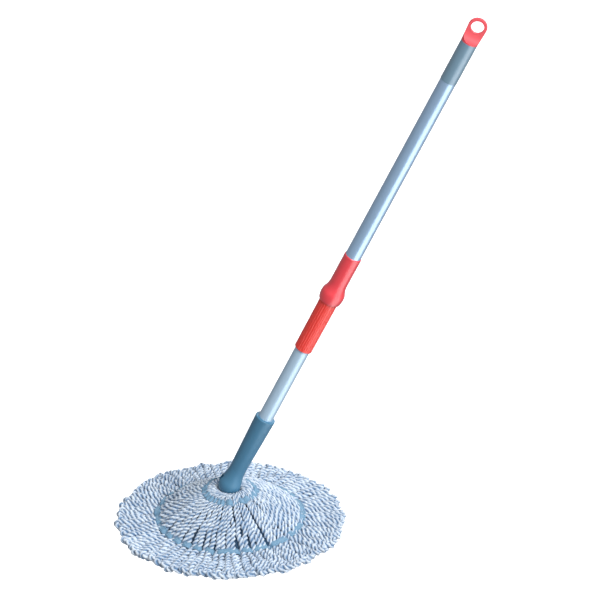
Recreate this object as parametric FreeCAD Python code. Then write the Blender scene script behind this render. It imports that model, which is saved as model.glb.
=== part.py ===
"""Spin mop: a telescopic hand-press handle with a twisted drive rod, and a round yarn head.

The origin is the centre of the head's flat underside, on the floor, with +Z up.
The pole leans towards +X. Every piece of the pole is drawn upright about the pole's own
axis, with t = 0 at the tilt hinge, and is then leaned over by on_pole().
All sizes are in millimetres and degrees.
"""

import FreeCAD
import Part
import math
import os

from FreeCAD import Placement, Rotation, Vector

# ---------------------------------------------------------------- driving dimensions

POLE_LEAN = 25.2  # from upright, about the tilt hinge

# clearances
RUNNING_FIT = 0.05  # on the radius, between pieces that turn or slide in each other
LOOSE_FIT = 0.3  # between pieces that only pass each other
SNAP_FIT = 0.1  # on the radius, round the grip's spigot
STOP_MARGIN = 4.0  # left at either end of the stroke

# the twisted drive
TWIST_PITCH = 120.0  # length of rod in one whole turn
PRESS_TRAVEL = 120.0  # how far the handle goes down from here
PULL_TRAVEL = 240.0  # how far it comes up from here
ROD_WIDTH = 9.0
ROD_THICKNESS = 3.0
ROD_HOLE_CLEARANCE = 0.8  # beside the rod; also clears its corners as they turn
ROD_SLOT_CLEARANCE = 0.8  # in the nut's slot, across the rod's width
ROD_SLOT_SLACK = 0.9  # in the nut's slot, across its thickness, for the twist inside the web
ROD_BELOW_CAP = 6.0  # rod left below the clutch with the handle pulled right up
STOP_RADIUS = 8.0
STOP_THICKNESS = 2.0
STOP_HEAD_RADIUS = 4.0
STOP_HEAD_HEIGHT = 3.0
STOP_SCREW_RADIUS = 2.0
STOP_SCREW_DEPTH = 6.0

# tubes
LOWER_TUBE_LENGTH = 570.0
LOWER_TUBE_RADIUS = 10.8
LOWER_TUBE_WALL = 0.5
UPPER_TUBE_WALL = 0.45
TUBE_GAP = 0.3  # between the two tubes

# rod anchor in the top of the upper tube
ANCHOR_LENGTH = 26.0
ANCHOR_WEB = 6.0  # above the end of the rod
ANCHOR_PIN_RADIUS = 1.5
ANCHOR_PIN_INSET = 1.0

# hand sleeve, cap and hanging ring
END_GRIP_LENGTH = 64.0
END_GRIP_WALL = 0.35
END_GRIP_EDGE = 0.25
CAP_SPIGOT_LENGTH = 7.0
CAP_FOOT_LENGTH = 2.0
RING_ABOVE_CAP = 25.0
RING_WALL = 4.3
RING_THICKNESS = 4.5
RING_EDGE = 1.2
RING_FLAT = 0.5  # flat left between the hole and the flare of the cap
HANG_HOLE_RADIUS = 9.0

# lock: core, shoes and fluted grip
CORE_WALL = 0.95
CORE_FLANGE_WIDTH = 0.9
CORE_FLANGE_THICKNESS = 3.5
CORE_INSET = 3.0  # of its lower end, inside the grip's mouth
SHOE_LENGTH = 10.0
SHOE_SPAN = 50.0
SHOE_STAND = 0.5  # that a shoe stands out of the core
SHOE_INSET = 6.0  # above the collar's lower edge
SHOE_SLACK = 0.1  # of a shoe in its window, lengthwise
SHOE_SLACK_SPAN = 1.0
CAM_THROW = 0.4
CAM_SLACK = 0.5  # of the oval bore below the shoes
GRIP_LENGTH = 86.0
GRIP_WALL_LOW = 1.1
GRIP_WALL_HIGH = 1.6
GRIP_MOUTH = 2.7  # thickness of the lip at the grip's lower end
GRIP_MOUTH_CLEARANCE = 0.2
GRIP_EDGE = 0.8
GRIP_FLUTES = 24
FLUTE_RADIUS = 1.1
FLUTE_DEPTH = 0.45
FLUTE_INSET_LOW = 3.5
FLUTE_INSET_HIGH = 2.5
SPIGOT_WALL = 2.0
SPIGOT_ABOVE_SHOES = 1.5
SNAP_LIP = 0.8
SNAP_LENGTH = 5.0
SNAP_ROOM = 0.5  # below the lip, in the collar's groove

# collar and its smooth sleeve
COLLAR_BELOW_TUBE = 23.0  # from the collar's lower edge to the upper tube's end
COLLAR_LENGTH = 78.0
COLLAR_BULGE = 12.0  # its widest place above its lower edge
COLLAR_NECK = 29.0  # its neck above its lower edge
COLLAR_WALL = 3.3  # outside the grip's spigot, at its widest
COLLAR_EDGE_WALL = 2.0  # outside the grip's spigot, at its lower edge
COLLAR_SLEEVE_WALL = 1.1  # outside the upper tube
COLLAR_TOP_EDGE = 0.8
COLLAR_LOW_EDGE = 0.5

# socket sleeve and tilt hinge
SLEEVE_LENGTH = 122.0  # from the hinge's axis
SLEEVE_WAIST = 28.0  # its narrowest place, above the hinge's axis
SLEEVE_WALL_LOW = 1.2
SLEEVE_WALL_HIGH = 4.0
SLEEVE_EDGE = 1.5
TUBE_SEAT = 30.0  # the lower tube's end above the hinge's axis
HINGE_PIN_RADIUS = 3.0
HINGE_PIN_INSET = 4.0  # of the pin's end, inside the bulb
TONGUE_HALF = 5.3
TONGUE_GAP = 0.2
EYE_RADIUS = 10.0
BULB_WALL = 7.0  # of the round bulb, outside the eye
SLEEVE_SCREW_PLACE = 0.6  # share of the sleeve's length
SLEEVE_SCREW_RADIUS = 1.5
SLEEVE_SCREW_INSIDE = 3.0  # of the screw's tip, inside the lower tube
SCREW_HEAD_RADIUS = 3.0
SCREW_HEAD_HEIGHT = 1.5
SCREW_HEAD_SUNK = 0.5

# clutch at the top of the lower tube
HOUSING_LENGTH = 30.0
HOUSING_SKIN = 1.8  # of the housing inside the lower tube
HOUSING_WALL = 4.0  # of its roof and of the ring that closes it
HOUSING_FLANGE = 1.5
NECK_LENGTH = 18.0
BUSH_WALL = 3.0
BUSH_LENGTH = 13.0
CLIP_THICKNESS = 1.2
CLIP_DEPTH = 1.0
CLIP_STAND = 2.0
CLIP_SPAN = 320.0
NUT_LENGTH = 8.0
NUT_WEB = 2.0
RATCHET_LENGTH = 8.0
DOG_COUNT = 6
DOG_HEIGHT = 1.5
DOG_GAP = 3.0  # degrees between two dogs
DOG_INSET_IN = 0.6
DOG_INSET_OUT = 0.2
SPRING_WIRE = 1.0
SPRING_COILS = 3

# head
HEAD_RADIUS = 166.0
YARN_THICKNESS = 10.0  # of the layer that lies on the floor
CRATER_CLEARANCE = 3.0  # between the bulb and the yarn round it
CRATER_LIP = 9.0
INNER_TAPE_RADIUS = 36.0
INNER_TAPE_BELOW_HINGE = 9.0
INNER_TAPE_WIDTH = 10.0
OUTER_TAPE_RADIUS = 103.5
OUTER_TAPE_RISE = 3.6  # above the layer that lies on the floor
OUTER_TAPE_WIDTH = 10.0
OUTER_TAPE_RUN = 0.96  # share of its width that lies across, on the foot of the slope
OUTER_TAPE_FALL = 0.29  # share of its width that lies down
YARN_FOOT = 8.0  # of the upper layer, beyond the outer tape
TAPE_THICKNESS = 1.0
PLATE_RADIUS = 60.0
PLATE_THICKNESS = 4.0
PLATE_RIM = 3.0
PLATE_RIM_DROP = 6.0
PLATE_RIBS = 6
RIB_THICKNESS = 2.5
RIB_INSET = 4.0
HUB_RADIUS = 16.0
HUB_HEIGHT = 14.0  # above the plate
KNUCKLE_INSET = 1.0
KNUCKLE_FLANGE = 4.0
KNUCKLE_STEM_INSET = 2.5
KNUCKLE_SPIGOT_RADIUS = 8.0
KNUCKLE_SPIGOT_DEPTH = 8.0
KNUCKLE_SCREWS = 4
KNUCKLE_SCREW_INSET = 4.5
KNUCKLE_SCREW_RADIUS = 1.2
KNUCKLE_SCREW_LENGTH = 9.0
KNUCKLE_HEAD_RADIUS = 2.3
KNUCKLE_HEAD_HEIGHT = 1.5
BULB_CLEARANCE = 6.0  # between the bulb and the knuckle's flange
REFILL_WALL = 2.5
REFILL_FLOOR = 4.0
REFILL_INSET = 18.0
YARN_ROOM = 0.5  # between the refill ring and the yarn round it
YARN_ROOM_ABOVE = 1.0  # between the plate and the yarn over it

# ---------------------------------------------------------------- sizes that follow

# radii, from the lower tube outwards
LOWER_TUBE_BORE = LOWER_TUBE_RADIUS - LOWER_TUBE_WALL
UPPER_TUBE_BORE = LOWER_TUBE_RADIUS + TUBE_GAP
UPPER_TUBE_RADIUS = UPPER_TUBE_BORE + UPPER_TUBE_WALL
END_GRIP_RADIUS = UPPER_TUBE_RADIUS + END_GRIP_WALL
RING_RADIUS = HANG_HOLE_RADIUS + RING_WALL
SLIDE_BORE = LOWER_TUBE_RADIUS + RUNNING_FIT
CORE_RADIUS = SLIDE_BORE + CORE_WALL
CORE_FLANGE_RADIUS = CORE_RADIUS + CORE_FLANGE_WIDTH
SHOE_RADIUS = CORE_RADIUS + SHOE_STAND
GRIP_RADIUS_LOW = CORE_RADIUS + GRIP_WALL_LOW
GRIP_RADIUS_HIGH = CORE_RADIUS + GRIP_WALL_HIGH
SPIGOT_RADIUS = CORE_RADIUS + SPIGOT_WALL
COLLAR_RADIUS = SPIGOT_RADIUS + COLLAR_WALL
COLLAR_EDGE_RADIUS = SPIGOT_RADIUS + COLLAR_EDGE_WALL
COLLAR_SLEEVE_RADIUS = UPPER_TUBE_RADIUS + COLLAR_SLEEVE_WALL
SLEEVE_RADIUS_LOW = LOWER_TUBE_RADIUS + SLEEVE_WALL_LOW
SLEEVE_RADIUS_HIGH = LOWER_TUBE_RADIUS + SLEEVE_WALL_HIGH
BULB_RADIUS = EYE_RADIUS + BULB_WALL
HINGE_PIN_HALF = BULB_RADIUS - HINGE_PIN_INSET
ROD_HOLE_RADIUS = ROD_WIDTH / 2 + ROD_HOLE_CLEARANCE
HOUSING_BORE = LOWER_TUBE_BORE - HOUSING_SKIN
BUSH_BORE = UPPER_TUBE_BORE - RUNNING_FIT - BUSH_WALL
NECK_RADIUS = BUSH_BORE - RUNNING_FIT
CRATER_RADIUS = BULB_RADIUS + CRATER_CLEARANCE
REFILL_RADIUS = PLATE_RADIUS + REFILL_WALL

# stations along the pole, from the tilt hinge's axis
LOWER_TUBE_BOTTOM = TUBE_SEAT
SLEEVE_TOP = SLEEVE_LENGTH
LOWER_TUBE_TOP = LOWER_TUBE_BOTTOM + LOWER_TUBE_LENGTH
FLANGE_TOP = LOWER_TUBE_TOP + HOUSING_FLANGE
BUSH_BOTTOM = FLANGE_TOP + LOOSE_FIT
CLIP_BOTTOM = BUSH_BOTTOM + BUSH_LENGTH + LOOSE_FIT
NECK_TOP = LOWER_TUBE_TOP + NECK_LENGTH
HOUSING_ROOF = LOWER_TUBE_TOP - HOUSING_WALL
HOUSING_BOTTOM = LOWER_TUBE_TOP - HOUSING_LENGTH
CAP_RING_BOTTOM = HOUSING_BOTTOM - HOUSING_WALL
NUT_BOTTOM = HOUSING_BOTTOM + RATCHET_LENGTH
NUT_TOP = NUT_BOTTOM + NUT_LENGTH
NUT_MIDDLE = (NUT_BOTTOM + NUT_TOP) / 2
ANCHOR_BOTTOM = NECK_TOP + PRESS_TRAVEL + STOP_MARGIN
ANCHOR_TOP = ANCHOR_BOTTOM + ANCHOR_LENGTH
ROD_TOP = ANCHOR_TOP - ANCHOR_WEB
ROD_BOTTOM = CAP_RING_BOTTOM - PULL_TRAVEL - STOP_MARGIN - ROD_BELOW_CAP
CAP_BOTTOM = ANCHOR_TOP + CAP_SPIGOT_LENGTH
END_GRIP_BOTTOM = CAP_BOTTOM - END_GRIP_LENGTH
RING_CENTRE = CAP_BOTTOM + RING_ABOVE_CAP
UPPER_TUBE_BOTTOM = LOWER_TUBE_TOP - PULL_TRAVEL - STOP_MARGIN
CORE_FLANGE_BOTTOM = UPPER_TUBE_BOTTOM - CORE_FLANGE_THICKNESS
COLLAR_BOTTOM = UPPER_TUBE_BOTTOM - COLLAR_BELOW_TUBE
COLLAR_TOP = COLLAR_BOTTOM + COLLAR_LENGTH
GRIP_BOTTOM = COLLAR_BOTTOM - GRIP_LENGTH
SHOE_BOTTOM = COLLAR_BOTTOM + SHOE_INSET
SHOE_TOP = SHOE_BOTTOM + SHOE_LENGTH
SPIGOT_TOP = SHOE_TOP + SPIGOT_ABOVE_SHOES
SNAP_BOTTOM = SPIGOT_TOP - SNAP_LENGTH

# heights in the head, from the floor
PLATE_BOTTOM = YARN_THICKNESS + REFILL_FLOOR + PLATE_RIM_DROP
PLATE_FOOT = PLATE_BOTTOM - PLATE_RIM_DROP
PLATE_TOP = PLATE_BOTTOM + PLATE_THICKNESS
HUB_TOP = PLATE_TOP + HUB_HEIGHT
KNUCKLE_BASE = HUB_TOP + KNUCKLE_FLANGE
HINGE_HEIGHT = KNUCKLE_BASE + BULB_CLEARANCE + BULB_RADIUS
CRATER_FLOOR = KNUCKLE_BASE
INNER_TAPE_HEIGHT = HINGE_HEIGHT - INNER_TAPE_BELOW_HINGE
OUTER_TAPE_HEIGHT = YARN_THICKNESS + OUTER_TAPE_RISE
OUTER_TAPE_HALF_RUN = OUTER_TAPE_WIDTH * OUTER_TAPE_RUN / 2
OUTER_TAPE_HALF_FALL = OUTER_TAPE_WIDTH * OUTER_TAPE_FALL / 2
DOME_SLOPE = math.atan2(
    INNER_TAPE_HEIGHT - OUTER_TAPE_HEIGHT - OUTER_TAPE_HALF_FALL,
    OUTER_TAPE_RADIUS - INNER_TAPE_RADIUS - OUTER_TAPE_HALF_RUN,
)

X_AXIS = Vector(1, 0, 0)
Y_AXIS = Vector(0, 1, 0)
Z_AXIS = Vector(0, 0, 1)

# ---------------------------------------------------------------- small tools


def point(radius, height):
    """A point of an outline."""
    return Vector(radius, 0, height)


def outline_face(start, *steps):
    """A flat face in the plane y = 0: a step is a point, or an arc as (point on it, its end)."""
    edges = []
    here = point(*start)
    for step in steps + (start,):
        is_arc = isinstance(step[0], tuple)
        there = point(*(step[1] if is_arc else step))
        if is_arc:
            edges.append(Part.Arc(here, point(*step[0]), there).toShape())
        elif there.distanceToPoint(here) > 1e-6:
            edges.append(Part.makeLine(here, there))
        here = there
    return Part.Face(Part.Wire(edges))


def turned(start, *steps):
    """A solid of revolution about Z of an outline in radii and heights."""
    return outline_face(start, *steps).revolve(Vector(0, 0, 0), Z_AXIS, 360)


def disc(radius, bottom, top):
    """A solid cylinder about Z."""
    return Part.makeCylinder(radius, top - bottom, Vector(0, 0, bottom))


def ring(bore, radius, bottom, top):
    """A plain tube about Z."""
    return disc(radius, bottom, top).cut(disc(bore, bottom - 1, top + 1))


def sector(bore, radius, bottom, top, middle, span):
    """A piece of a tube about Z that spans an angle."""
    base = Part.makeCylinder(radius, top - bottom, Vector(0, 0, bottom), Z_AXIS, span)
    base.rotate(Vector(0, 0, 0), Z_AXIS, middle - span / 2)
    return base.cut(disc(bore, bottom - 1, top + 1))


def block(size_x, size_y, bottom, top):
    """A box that is centred on Z."""
    return Part.makeBox(size_x, size_y, top - bottom, Vector(-size_x / 2, -size_y / 2, bottom))


def pin(radius, start, end, height, axis=Y_AXIS):
    """A cylinder that lies across Z at a height."""
    return Part.makeCylinder(radius, end - start, axis * start + Z_AXIS * height, axis)


def around(shape, count, first=0.0):
    """Copies of a shape, evenly spaced about Z."""
    copies = []
    for index in range(count):
        copy = shape.copy()
        copy.rotate(Vector(0, 0, 0), Z_AXIS, first + 360.0 * index / count)
        copies.append(copy)
    return copies


def on_pole(shape):
    """Leans a piece that was drawn upright over to where the pole is."""
    placed = shape.copy()
    lean = Placement(Vector(0, 0, HINGE_HEIGHT), Rotation(Y_AXIS, POLE_LEAN))
    placed.Placement = lean.multiply(placed.Placement)
    return placed


# ---------------------------------------------------------------- upper handle


def cap_flank():
    """The hollow curve in which the cap's foot thins to the ring, and ends upright below the hole.

    Gives its middle point and its end, as distances from the ring's middle plane and heights.
    """
    half = RING_THICKNESS / 2
    end = RING_CENTRE - HANG_HOLE_RADIUS - RING_FLAT
    run, rise = END_GRIP_RADIUS - half, end - CAP_BOTTOM - CAP_FOOT_LENGTH
    radius = (run ** 2 + rise ** 2) / (2 * run)
    angle = math.atan2(run, rise)
    middle = (half + radius * (1 - math.cos(angle)), end - radius * math.sin(angle))
    return middle, (half, end)


def hang_cap():
    """The red end cap: a round foot that flattens and flares into the hanging ring."""
    foot = END_GRIP_RADIUS
    half = RING_THICKNESS / 2
    side = turned((0, CAP_BOTTOM), (foot, CAP_BOTTOM), (RING_RADIUS, RING_CENTRE), (0, RING_CENTRE))
    foot_top = CAP_BOTTOM + CAP_FOOT_LENGTH
    middle, end = cap_flank()
    slab = outline_face(
        (-foot, CAP_BOTTOM),
        (foot, CAP_BOTTOM),
        (foot, foot_top),
        (middle, end),
        (half, RING_CENTRE),
        (-half, RING_CENTRE),
        (-end[0], end[1]),
        ((-middle[0], middle[1]), (-foot, foot_top)),
    ).extrude(Y_AXIS * 4 * foot)
    slab.translate(Y_AXIS * -2 * foot)
    slab.rotate(Vector(0, 0, 0), Z_AXIS, 90)
    neck = side.common(slab)
    spigot = disc(UPPER_TUBE_BORE, ANCHOR_TOP, CAP_BOTTOM)
    eye = pin(RING_RADIUS, -half, half, RING_CENTRE)
    eye = eye.makeFillet(RING_EDGE, [e for e in eye.Edges if e.Closed and e.Length > 1])
    hole = pin(HANG_HOLE_RADIUS, -2 * foot, 2 * foot, RING_CENTRE)
    return neck.fuse([spigot, eye]).removeSplitter().cut(hole)


def end_grip():
    """The thin plastic hand sleeve over the top of the upper tube."""
    return turned(
        (UPPER_TUBE_RADIUS, END_GRIP_BOTTOM),
        (END_GRIP_RADIUS - END_GRIP_EDGE, END_GRIP_BOTTOM),
        (END_GRIP_RADIUS, END_GRIP_BOTTOM + END_GRIP_EDGE),
        (END_GRIP_RADIUS, CAP_BOTTOM),
        (UPPER_TUBE_RADIUS, CAP_BOTTOM),
    )


def upper_tube():
    """The painted steel outer tube."""
    return ring(UPPER_TUBE_BORE, UPPER_TUBE_RADIUS, UPPER_TUBE_BOTTOM, CAP_BOTTOM)


def rod_anchor():
    """The nylon plug that holds the flat end of the twisted rod in the upper tube."""
    plug = disc(UPPER_TUBE_BORE, ANCHOR_BOTTOM, ANCHOR_TOP)
    pocket = block(ROD_WIDTH, ROD_THICKNESS, ANCHOR_BOTTOM - 1, ROD_TOP)
    return plug.cut([pocket, anchor_pin()])


def anchor_pin():
    """The cross pin through the plug and the flat end of the rod."""
    half = UPPER_TUBE_BORE - ANCHOR_PIN_INSET
    return pin(ANCHOR_PIN_RADIUS, -half, half, (ANCHOR_BOTTOM + ROD_TOP) / 2)


def rod_twist(height):
    """The angle of the rod's wide side at a height: a right-hand twist below the plug."""
    return 360.0 * (height - ANCHOR_BOTTOM) / TWIST_PITCH


def twisted_rod():
    """The flat steel bar, twisted along its whole length below the plug."""
    length = ANCHOR_BOTTOM - ROD_BOTTOM
    spine = Part.Wire(Part.makeLine(Vector(0, 0, ROD_BOTTOM), Vector(0, 0, ANCHOR_BOTTOM)))
    guide = Part.makeHelix(TWIST_PITCH, length, ROD_WIDTH)
    guide.rotate(Vector(0, 0, 0), Z_AXIS, rod_twist(ROD_BOTTOM))
    guide.translate(Vector(0, 0, ROD_BOTTOM))
    section = block(ROD_WIDTH, ROD_THICKNESS, ROD_BOTTOM, ROD_BOTTOM + 1).Faces
    outline = [f for f in section if f.normalAt(0, 0).z < -0.5][0].OuterWire
    outline.rotate(Vector(0, 0, 0), Z_AXIS, rod_twist(ROD_BOTTOM))
    sweep = Part.BRepOffsetAPI.MakePipeShell(spine)
    sweep.setAuxiliarySpine(guide, True, 0)
    sweep.add(outline)
    sweep.build()
    sweep.makeSolid()
    twisted = sweep.shape()
    flat = block(ROD_WIDTH, ROD_THICKNESS, ANCHOR_BOTTOM, ROD_TOP)
    screw_hole = disc(STOP_SCREW_RADIUS, ROD_BOTTOM - 1, ROD_BOTTOM + STOP_SCREW_DEPTH)
    return twisted.fuse(flat).cut([anchor_pin(), screw_hole])


def rod_stop():
    """The stop washer at the rod's lower end, with the screw that holds it."""
    washer_bottom = ROD_BOTTOM - STOP_THICKNESS
    washer = disc(STOP_RADIUS, washer_bottom, ROD_BOTTOM)
    head = disc(STOP_HEAD_RADIUS, washer_bottom - STOP_HEAD_HEIGHT, washer_bottom)
    shank = disc(STOP_SCREW_RADIUS, ROD_BOTTOM, ROD_BOTTOM + STOP_SCREW_DEPTH)
    return washer.fuse([head, shank]).removeSplitter()


def grip_collar():
    """The red collar and smooth sleeve, moulded over the end of the upper tube."""
    widest = COLLAR_BOTTOM + COLLAR_BULGE
    neck = COLLAR_BOTTOM + COLLAR_NECK
    spigot_bore = SPIGOT_RADIUS + SNAP_FIT
    lip_bore = SPIGOT_RADIUS + SNAP_LIP + SNAP_FIT
    lip_bottom = SNAP_BOTTOM - SNAP_ROOM
    room_top = SPIGOT_TOP + LOOSE_FIT
    return turned(
        (spigot_bore, COLLAR_BOTTOM),
        (COLLAR_EDGE_RADIUS - 0.4, COLLAR_BOTTOM),
        (COLLAR_EDGE_RADIUS, COLLAR_BOTTOM + COLLAR_LOW_EDGE),
        ((COLLAR_RADIUS - 0.2, widest - 6), (COLLAR_RADIUS, widest)),
        ((COLLAR_RADIUS - 0.5, widest + 3.2), (COLLAR_RADIUS - 1.5, widest + 6)),
        ((COLLAR_SLEEVE_RADIUS + 0.7, neck - 4), (COLLAR_SLEEVE_RADIUS, neck + 3)),
        (COLLAR_SLEEVE_RADIUS, COLLAR_TOP - COLLAR_TOP_EDGE),
        (COLLAR_SLEEVE_RADIUS - COLLAR_TOP_EDGE, COLLAR_TOP),
        (UPPER_TUBE_RADIUS, COLLAR_TOP),
        (UPPER_TUBE_RADIUS, UPPER_TUBE_BOTTOM),
        (CORE_FLANGE_RADIUS, UPPER_TUBE_BOTTOM),
        (CORE_FLANGE_RADIUS, CORE_FLANGE_BOTTOM),
        (CORE_RADIUS, CORE_FLANGE_BOTTOM),
        (CORE_RADIUS, room_top),
        (lip_bore, room_top),
        (lip_bore, lip_bottom),
        (spigot_bore, lip_bottom),
    )


def shoe_middles():
    """The two sides that the clamp shoes stand on."""
    return (0.0, 180.0)


def lock_core():
    """The nylon guide in the collar that the lower tube slides in, with a window for each shoe."""
    body = ring(SLIDE_BORE, CORE_RADIUS, GRIP_BOTTOM + CORE_INSET, UPPER_TUBE_BOTTOM)
    flange = ring(SLIDE_BORE, CORE_FLANGE_RADIUS, CORE_FLANGE_BOTTOM, UPPER_TUBE_BOTTOM)
    low, high = SHOE_BOTTOM - SHOE_SLACK, SHOE_TOP + SHOE_SLACK
    span = SHOE_SPAN + SHOE_SLACK_SPAN
    windows = [sector(SLIDE_BORE - 1, SHOE_RADIUS, low, high, middle, span) for middle in shoe_middles()]
    return body.fuse(flange).removeSplitter().cut(windows)


def lock_shoes():
    """Two clamp shoes that the grip's oval bore squeezes on to the lower tube."""
    low, high = SHOE_BOTTOM, SHOE_TOP
    return [sector(SLIDE_BORE, SHOE_RADIUS, low, high, middle, SHOE_SPAN) for middle in shoe_middles()]


# ---------------------------------------------------------------- lock grip


def lock_grip():
    """The fluted grip that turns a quarter to clamp the lower tube, snapped into the collar."""
    bore = CORE_RADIUS + RUNNING_FIT
    mouth = LOWER_TUBE_RADIUS + GRIP_MOUTH_CLEARANCE
    lip_top = GRIP_BOTTOM + GRIP_MOUTH
    body = turned(
        (mouth, GRIP_BOTTOM),
        (GRIP_RADIUS_LOW - GRIP_EDGE, GRIP_BOTTOM),
        (GRIP_RADIUS_LOW, GRIP_BOTTOM + GRIP_EDGE),
        (GRIP_RADIUS_HIGH, COLLAR_BOTTOM - LOOSE_FIT),
        (SPIGOT_RADIUS, COLLAR_BOTTOM),
        (SPIGOT_RADIUS, SNAP_BOTTOM),
        (SPIGOT_RADIUS + SNAP_LIP, SNAP_BOTTOM),
        (SPIGOT_RADIUS, SPIGOT_TOP),
        (bore, SPIGOT_TOP),
        (bore, lip_top),
        (mouth, lip_top),
    )
    cam_radius = SHOE_RADIUS + RUNNING_FIT
    cam_bottom = SHOE_BOTTOM - CAM_SLACK
    oval = Part.Ellipse(Vector(0, 0, 0), cam_radius + CAM_THROW, cam_radius)
    cam = Part.Face(Part.Wire(oval.toShape())).extrude(Z_AXIS * (SPIGOT_TOP - SHOE_BOTTOM + 2))
    cam.translate(Z_AXIS * cam_bottom)
    return body.cut(grip_flutes() + [cam])


def grip_flutes():
    """The shallow lengthwise grooves, each a round bar that follows the grip's taper."""
    low, high = GRIP_BOTTOM + FLUTE_INSET_LOW, COLLAR_BOTTOM - FLUTE_INSET_HIGH
    rise = high - low
    taper = (GRIP_RADIUS_HIGH - GRIP_RADIUS_LOW) * rise / GRIP_LENGTH
    start = Vector(GRIP_RADIUS_LOW + FLUTE_RADIUS - FLUTE_DEPTH, 0, low)
    direction = Vector(taper, 0, rise)
    groove = Part.makeCylinder(FLUTE_RADIUS, direction.Length, start, direction)
    ends = [Part.makeSphere(FLUTE_RADIUS, start), Part.makeSphere(FLUTE_RADIUS, start + direction)]
    return around(groove.fuse(ends), GRIP_FLUTES)


# ---------------------------------------------------------------- glide


def glide_bush():
    """The nylon ring that rides in the upper tube and carries the top of the lower pole."""
    return ring(BUSH_BORE, UPPER_TUBE_BORE - RUNNING_FIT, BUSH_BOTTOM, BUSH_BOTTOM + BUSH_LENGTH)


# ---------------------------------------------------------------- lower pole


def bush_clip():
    """The spring clip above the glide bush, in a groove of the clutch housing's neck."""
    bore, radius = NECK_RADIUS - CLIP_DEPTH, NECK_RADIUS + CLIP_STAND
    return sector(bore, radius, CLIP_BOTTOM, CLIP_BOTTOM + CLIP_THICKNESS, 0, CLIP_SPAN)


def clutch_housing():
    """The nylon housing pushed into the top of the lower tube, with a neck for the glide bush."""
    body = turned(
        (HOUSING_BORE, HOUSING_BOTTOM),
        (LOWER_TUBE_BORE, HOUSING_BOTTOM),
        (LOWER_TUBE_BORE, LOWER_TUBE_TOP),
        (LOWER_TUBE_RADIUS, LOWER_TUBE_TOP),
        (LOWER_TUBE_RADIUS, FLANGE_TOP),
        (NECK_RADIUS, FLANGE_TOP),
        (NECK_RADIUS, NECK_TOP),
        (ROD_HOLE_RADIUS, NECK_TOP),
        (ROD_HOLE_RADIUS, HOUSING_ROOF),
        (HOUSING_BORE, HOUSING_ROOF),
    )
    groove_top = CLIP_BOTTOM + CLIP_THICKNESS
    return body.cut(ring(NECK_RADIUS - CLIP_DEPTH, NECK_RADIUS + 1, CLIP_BOTTOM, groove_top))


def housing_cap():
    """The ring that closes the bottom of the clutch housing."""
    return ring(ROD_HOLE_RADIUS, LOWER_TUBE_BORE, CAP_RING_BOTTOM, HOUSING_BOTTOM)


def dogs(bottom, first):
    """Clutch dogs: short sectors that stand on a ring."""
    span = 180.0 / DOG_COUNT - DOG_GAP
    bore, radius = ROD_HOLE_RADIUS + DOG_INSET_IN, HOUSING_BORE - DOG_INSET_OUT
    one = sector(bore, radius, bottom, bottom + DOG_HEIGHT, 0, span)
    return around(one, DOG_COUNT, first)


def ratchet_ring():
    """The fixed half of the dog clutch, in the bottom of the housing."""
    plain_top = NUT_BOTTOM - DOG_HEIGHT
    plain = ring(ROD_HOLE_RADIUS, HOUSING_BORE, HOUSING_BOTTOM, plain_top)
    return plain.fuse(dogs(plain_top, 0)).removeSplitter()


def drive_nut():
    """The driven half of the clutch, with a thin web whose slot fits the twisted rod."""
    plain = ring(ROD_HOLE_RADIUS, HOUSING_BORE - RUNNING_FIT, NUT_BOTTOM, NUT_TOP)
    teeth = dogs(NUT_BOTTOM - DOG_HEIGHT, 180.0 / DOG_COUNT)
    web = disc(ROD_HOLE_RADIUS, NUT_MIDDLE - NUT_WEB / 2, NUT_MIDDLE + NUT_WEB / 2)
    width, thickness = ROD_WIDTH + ROD_SLOT_CLEARANCE, ROD_THICKNESS + ROD_SLOT_SLACK
    slot = block(width, thickness, NUT_MIDDLE - NUT_WEB, NUT_MIDDLE + NUT_WEB)
    slot.rotate(Vector(0, 0, 0), Z_AXIS, rod_twist(NUT_MIDDLE))
    return plain.fuse(teeth + [web.cut(slot)]).removeSplitter()


def clutch_spring():
    """The light coil that keeps the nut down on the ratchet ring."""
    wire = SPRING_WIRE / 2
    bottom = NUT_TOP + wire
    height = HOUSING_ROOF - bottom - wire
    radius = (ROD_HOLE_RADIUS + HOUSING_BORE) / 2
    helix = Part.makeHelix(height / SPRING_COILS, height, radius)
    helix.translate(Z_AXIS * bottom)
    start = Vector(radius, 0, bottom)
    section = Part.Wire(Part.makeCircle(wire, start, Y_AXIS))
    return Part.Wire(helix).makePipeShell([section], True, True)


def lower_tube():
    """The painted steel inner tube."""
    tube = ring(LOWER_TUBE_BORE, LOWER_TUBE_RADIUS, LOWER_TUBE_BOTTOM, LOWER_TUBE_TOP)
    return tube.cut(sleeve_screw())


def socket_sleeve():
    """The dark socket on the lower tube, ending in a round bulb that is slotted for the knuckle."""
    edge = SLEEVE_EDGE
    reach = 2 * BULB_RADIUS
    round_off = edge * (1 - math.sqrt(0.5))
    start, middle = bulb_neck()
    body = turned(
        (0, start[1]),
        start,
        (middle, (SLEEVE_RADIUS_LOW, SLEEVE_WAIST)),
        (SLEEVE_RADIUS_HIGH, SLEEVE_TOP - edge),
        ((SLEEVE_RADIUS_HIGH - round_off, SLEEVE_TOP - round_off), (SLEEVE_RADIUS_HIGH - edge, SLEEVE_TOP)),
        (LOWER_TUBE_RADIUS, SLEEVE_TOP),
        (LOWER_TUBE_RADIUS, LOWER_TUBE_BOTTOM),
        (0, LOWER_TUBE_BOTTOM),
    )
    slot = block(reach * 2, 2 * (TONGUE_HALF + TONGUE_GAP), -reach, EYE_RADIUS + LOOSE_FIT)
    pin_hole = pin(HINGE_PIN_RADIUS, -HINGE_PIN_HALF, reach, 0)
    body = body.fuse(Part.makeSphere(BULB_RADIUS))
    return body.cut([slot, pin_hole, sleeve_screw(), sleeve_screw_mouth()])


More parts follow.
